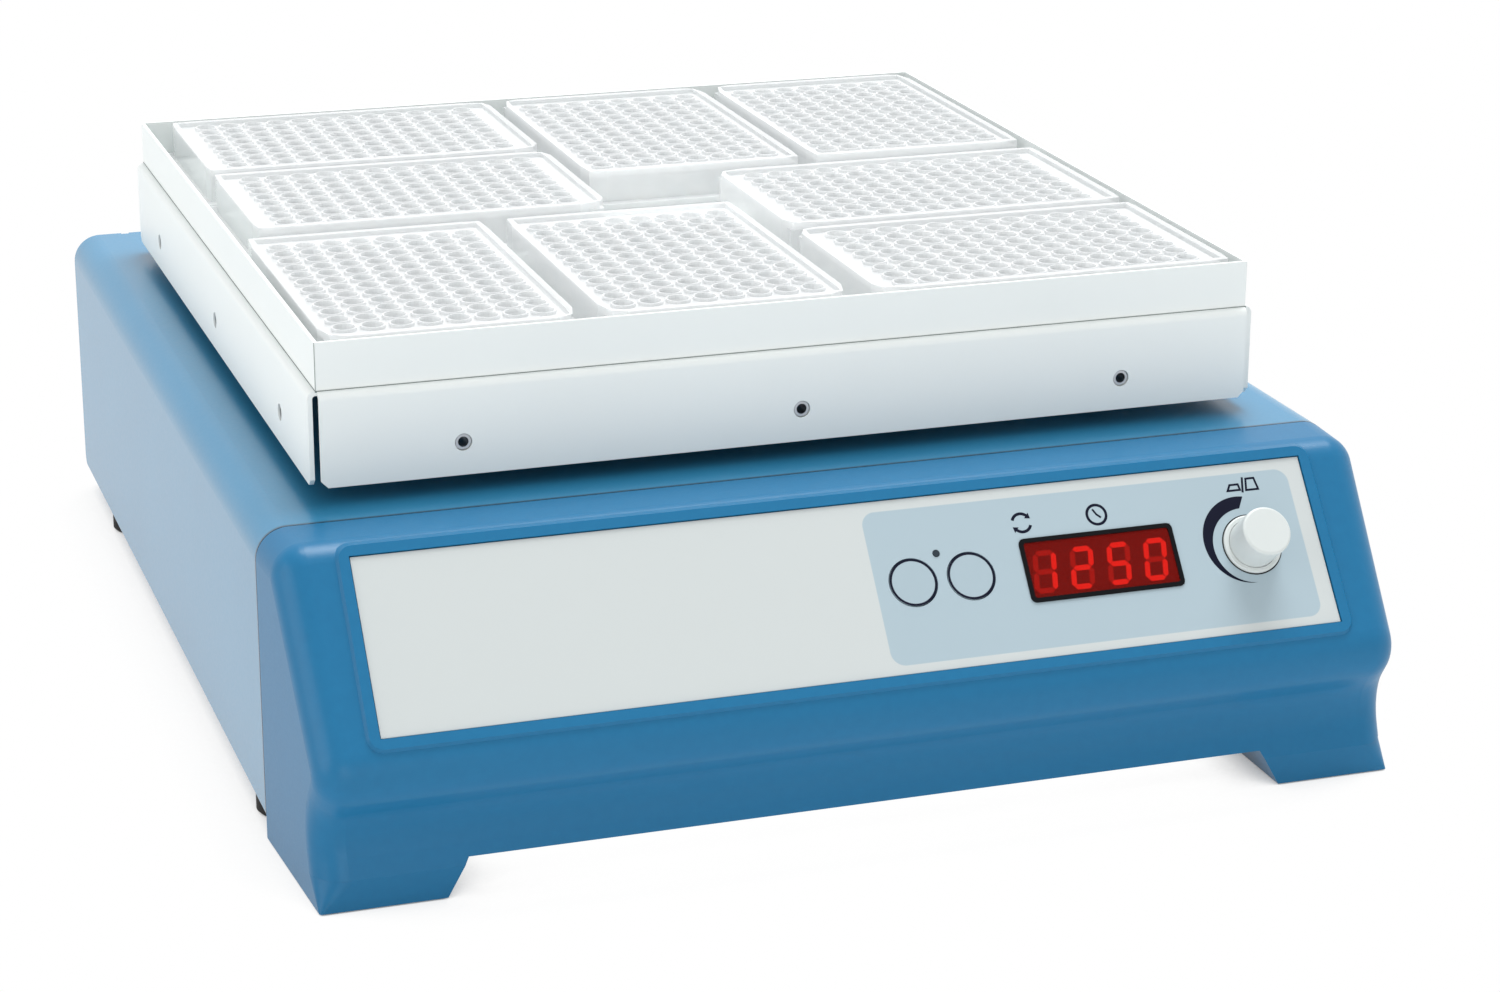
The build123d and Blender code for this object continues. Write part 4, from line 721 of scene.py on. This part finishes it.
polystyrene, tree, place = new_material("clear_moulded_polystyrene")
flow = add_node(tree, "ShaderNodeTexNoise", {"Scale": 1 / (6 * mm)}, {"Vector": place})
tone = add_node(tree, "ShaderNodeMix", data_type="RGBA", links={"Factor": flow.outputs[0]},
                values={"A": linear(plate_white), "B": linear("#F4F8FA")})
rough = add_node(tree, "ShaderNodeMapRange", {"To Min": 0.1, "To Max": 0.18},
                 {"Value": flow.outputs[0]})
close_material(tree, add_node(
    tree, "ShaderNodeBsdfPrincipled", {"IOR": 1.59, "Alpha": 0.45},
    {"Base Color": tone.outputs["Result"], "Roughness": rough.outputs[0]}))


def stretched(points, block_half, half):
    """Moves the points on the well block's edge out to a rectangle of the given half sizes:
    x becomes half * sign(x) where |x| is the block's half length, and y likewise."""
    out = points.copy()
    for axis in (0, 1):
        edge = np.isclose(np.abs(points[:, axis]), block_half[axis])
        out[edge, axis] = np.sign(points[edge, axis]) * half[axis]
    return out


def plate_grid():
    """The points and faces of one plate about its own middle. A well is rings of points at
    angles a = 2 pi k / n: the square cell edge (cos a, sin a) / max(|cos a|, |sin a|) * 4.5,
    then circles r (cos a, sin a) down to the floor. The skirt is the block's edge points
    carried outward and down through a list of half sizes and heights."""
    angles = 2 * np.pi * np.arange(well_turns) / well_turns
    circle = np.stack([np.cos(angles), np.sin(angles)], 1)
    square = circle / np.abs(circle).max(1, keepdims=True) * well_pitch / 2
    columns = (np.arange(wells_long) - (wells_long - 1) / 2) * well_pitch
    rows = (np.arange(wells_wide) - (wells_wide - 1) / 2) * well_pitch
    centres = np.stack(np.meshgrid(columns, rows), -1).reshape(-1, 2)
    block_half = (wells_long * well_pitch / 2, wells_wide * well_pitch / 2)

    def cell_rings(profile, half):
        """Rings (radius, height) of every well, the first on the cell's square edge."""
        rings = []
        for number, (radius, height) in enumerate(profile):
            shape = square if number == 0 else circle * radius
            flat = (centres[:, None, :] + shape).reshape(-1, 2)
            if number == 0:
                flat = stretched(flat, block_half, half)
            rings.append(np.column_stack([flat, np.full(len(flat), height)]).reshape(
                len(centres), well_turns, 3))
        middle = np.column_stack([centres, np.full(len(centres), profile[-1][1])])[:, None, :]
        return np.concatenate(rings + [middle], 1)

    def cell_faces(count, first, flip):
        """Quads between neighbouring rings and triangles to the middle point."""
        k = np.arange(well_turns)
        after = (k + 1) % well_turns
        quads = np.concatenate([
            np.stack([r * well_turns + k, r * well_turns + after, (r + 1) * well_turns + after,
                      (r + 1) * well_turns + k], 1) for r in range(count - 1)])
        last = (count - 1) * well_turns
        fan = np.stack([last + k, last + after, np.full(well_turns, count * well_turns)], 1)
        step = count * well_turns + 1
        starts = first + np.arange(len(centres)) * step
        quads = (starts[:, None, None] + quads[None]).reshape(-1, 4)
        fan = (starts[:, None, None] + fan[None]).reshape(-1, 3)
        if flip:
            quads, fan = quads[:, ::-1], fan[:, ::-1]
        return quads.tolist() + fan.tolist()

    top = cell_rings(well_profile, deck_half)
    under = cell_rings(under_profile, under_half)
    side_x, side_y = [np.unique(np.round(places[:, None] + square[:, axis], 6))
                      for axis, places in ((0, columns), (1, rows))]
    around = np.concatenate([
        np.column_stack([side_x[:-1], np.full(len(side_x) - 1, side_y[0])]),
        np.column_stack([np.full(len(side_y) - 1, side_x[-1]), side_y[:-1]]),
        np.column_stack([side_x[:0:-1], np.full(len(side_x) - 1, side_y[-1])]),
        np.column_stack([np.full(len(side_y) - 1, side_x[0]), side_y[:0:-1]])])
    rim = []
    for half_long, half_wide, height, cut in skirt_profile:
        flat = stretched(around, block_half, (half_long, half_wide))
        corner = np.where(flat[:, 0] < 0, cut_corner, plain_corner) * cut
        excess = np.maximum(0, np.abs(flat).sum(1) - (half_long + half_wide - corner)) / 2
        flat = flat - np.sign(flat) * excess[:, None]
        rim.append(np.column_stack([flat, np.full(len(flat), height)]))
    rim = np.array(rim)
    points = np.concatenate([top.reshape(-1, 3), under.reshape(-1, 3), rim.reshape(-1, 3)])
    first_under = top.shape[0] * top.shape[1]
    first_rim = first_under + under.shape[0] * under.shape[1]
    count = len(around)
    i = np.arange(count)
    j = (i + 1) % count
    walls = [np.stack([r * count + i, r * count + j, (r + 1) * count + j, (r + 1) * count + i], 1)
             for r in range(len(skirt_profile) - 1)]
    faces = (cell_faces(len(well_profile), 0, False)
             + cell_faces(len(under_profile), first_under, True)
             + (np.concatenate(walls)[:, ::-1] + first_rim).tolist())
    return points, faces


plate_points, plate_faces = plate_grid()
for number, (x, y, turn) in enumerate(plate_places, 1):
    a = np.radians(turn)
    spin = np.array([(np.cos(a), np.sin(a), 0), (-np.sin(a), np.cos(a), 0), (0, 0, 1)])
    placed = (plate_points @ spin + (x, y, plate_floor_z)) * mm
    piece = add_piece(f"well_plate_{number}", placed, plate_faces, polystyrene)
    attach(piece, f"microplate_{number}")
    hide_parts(f"microplate_{number}")
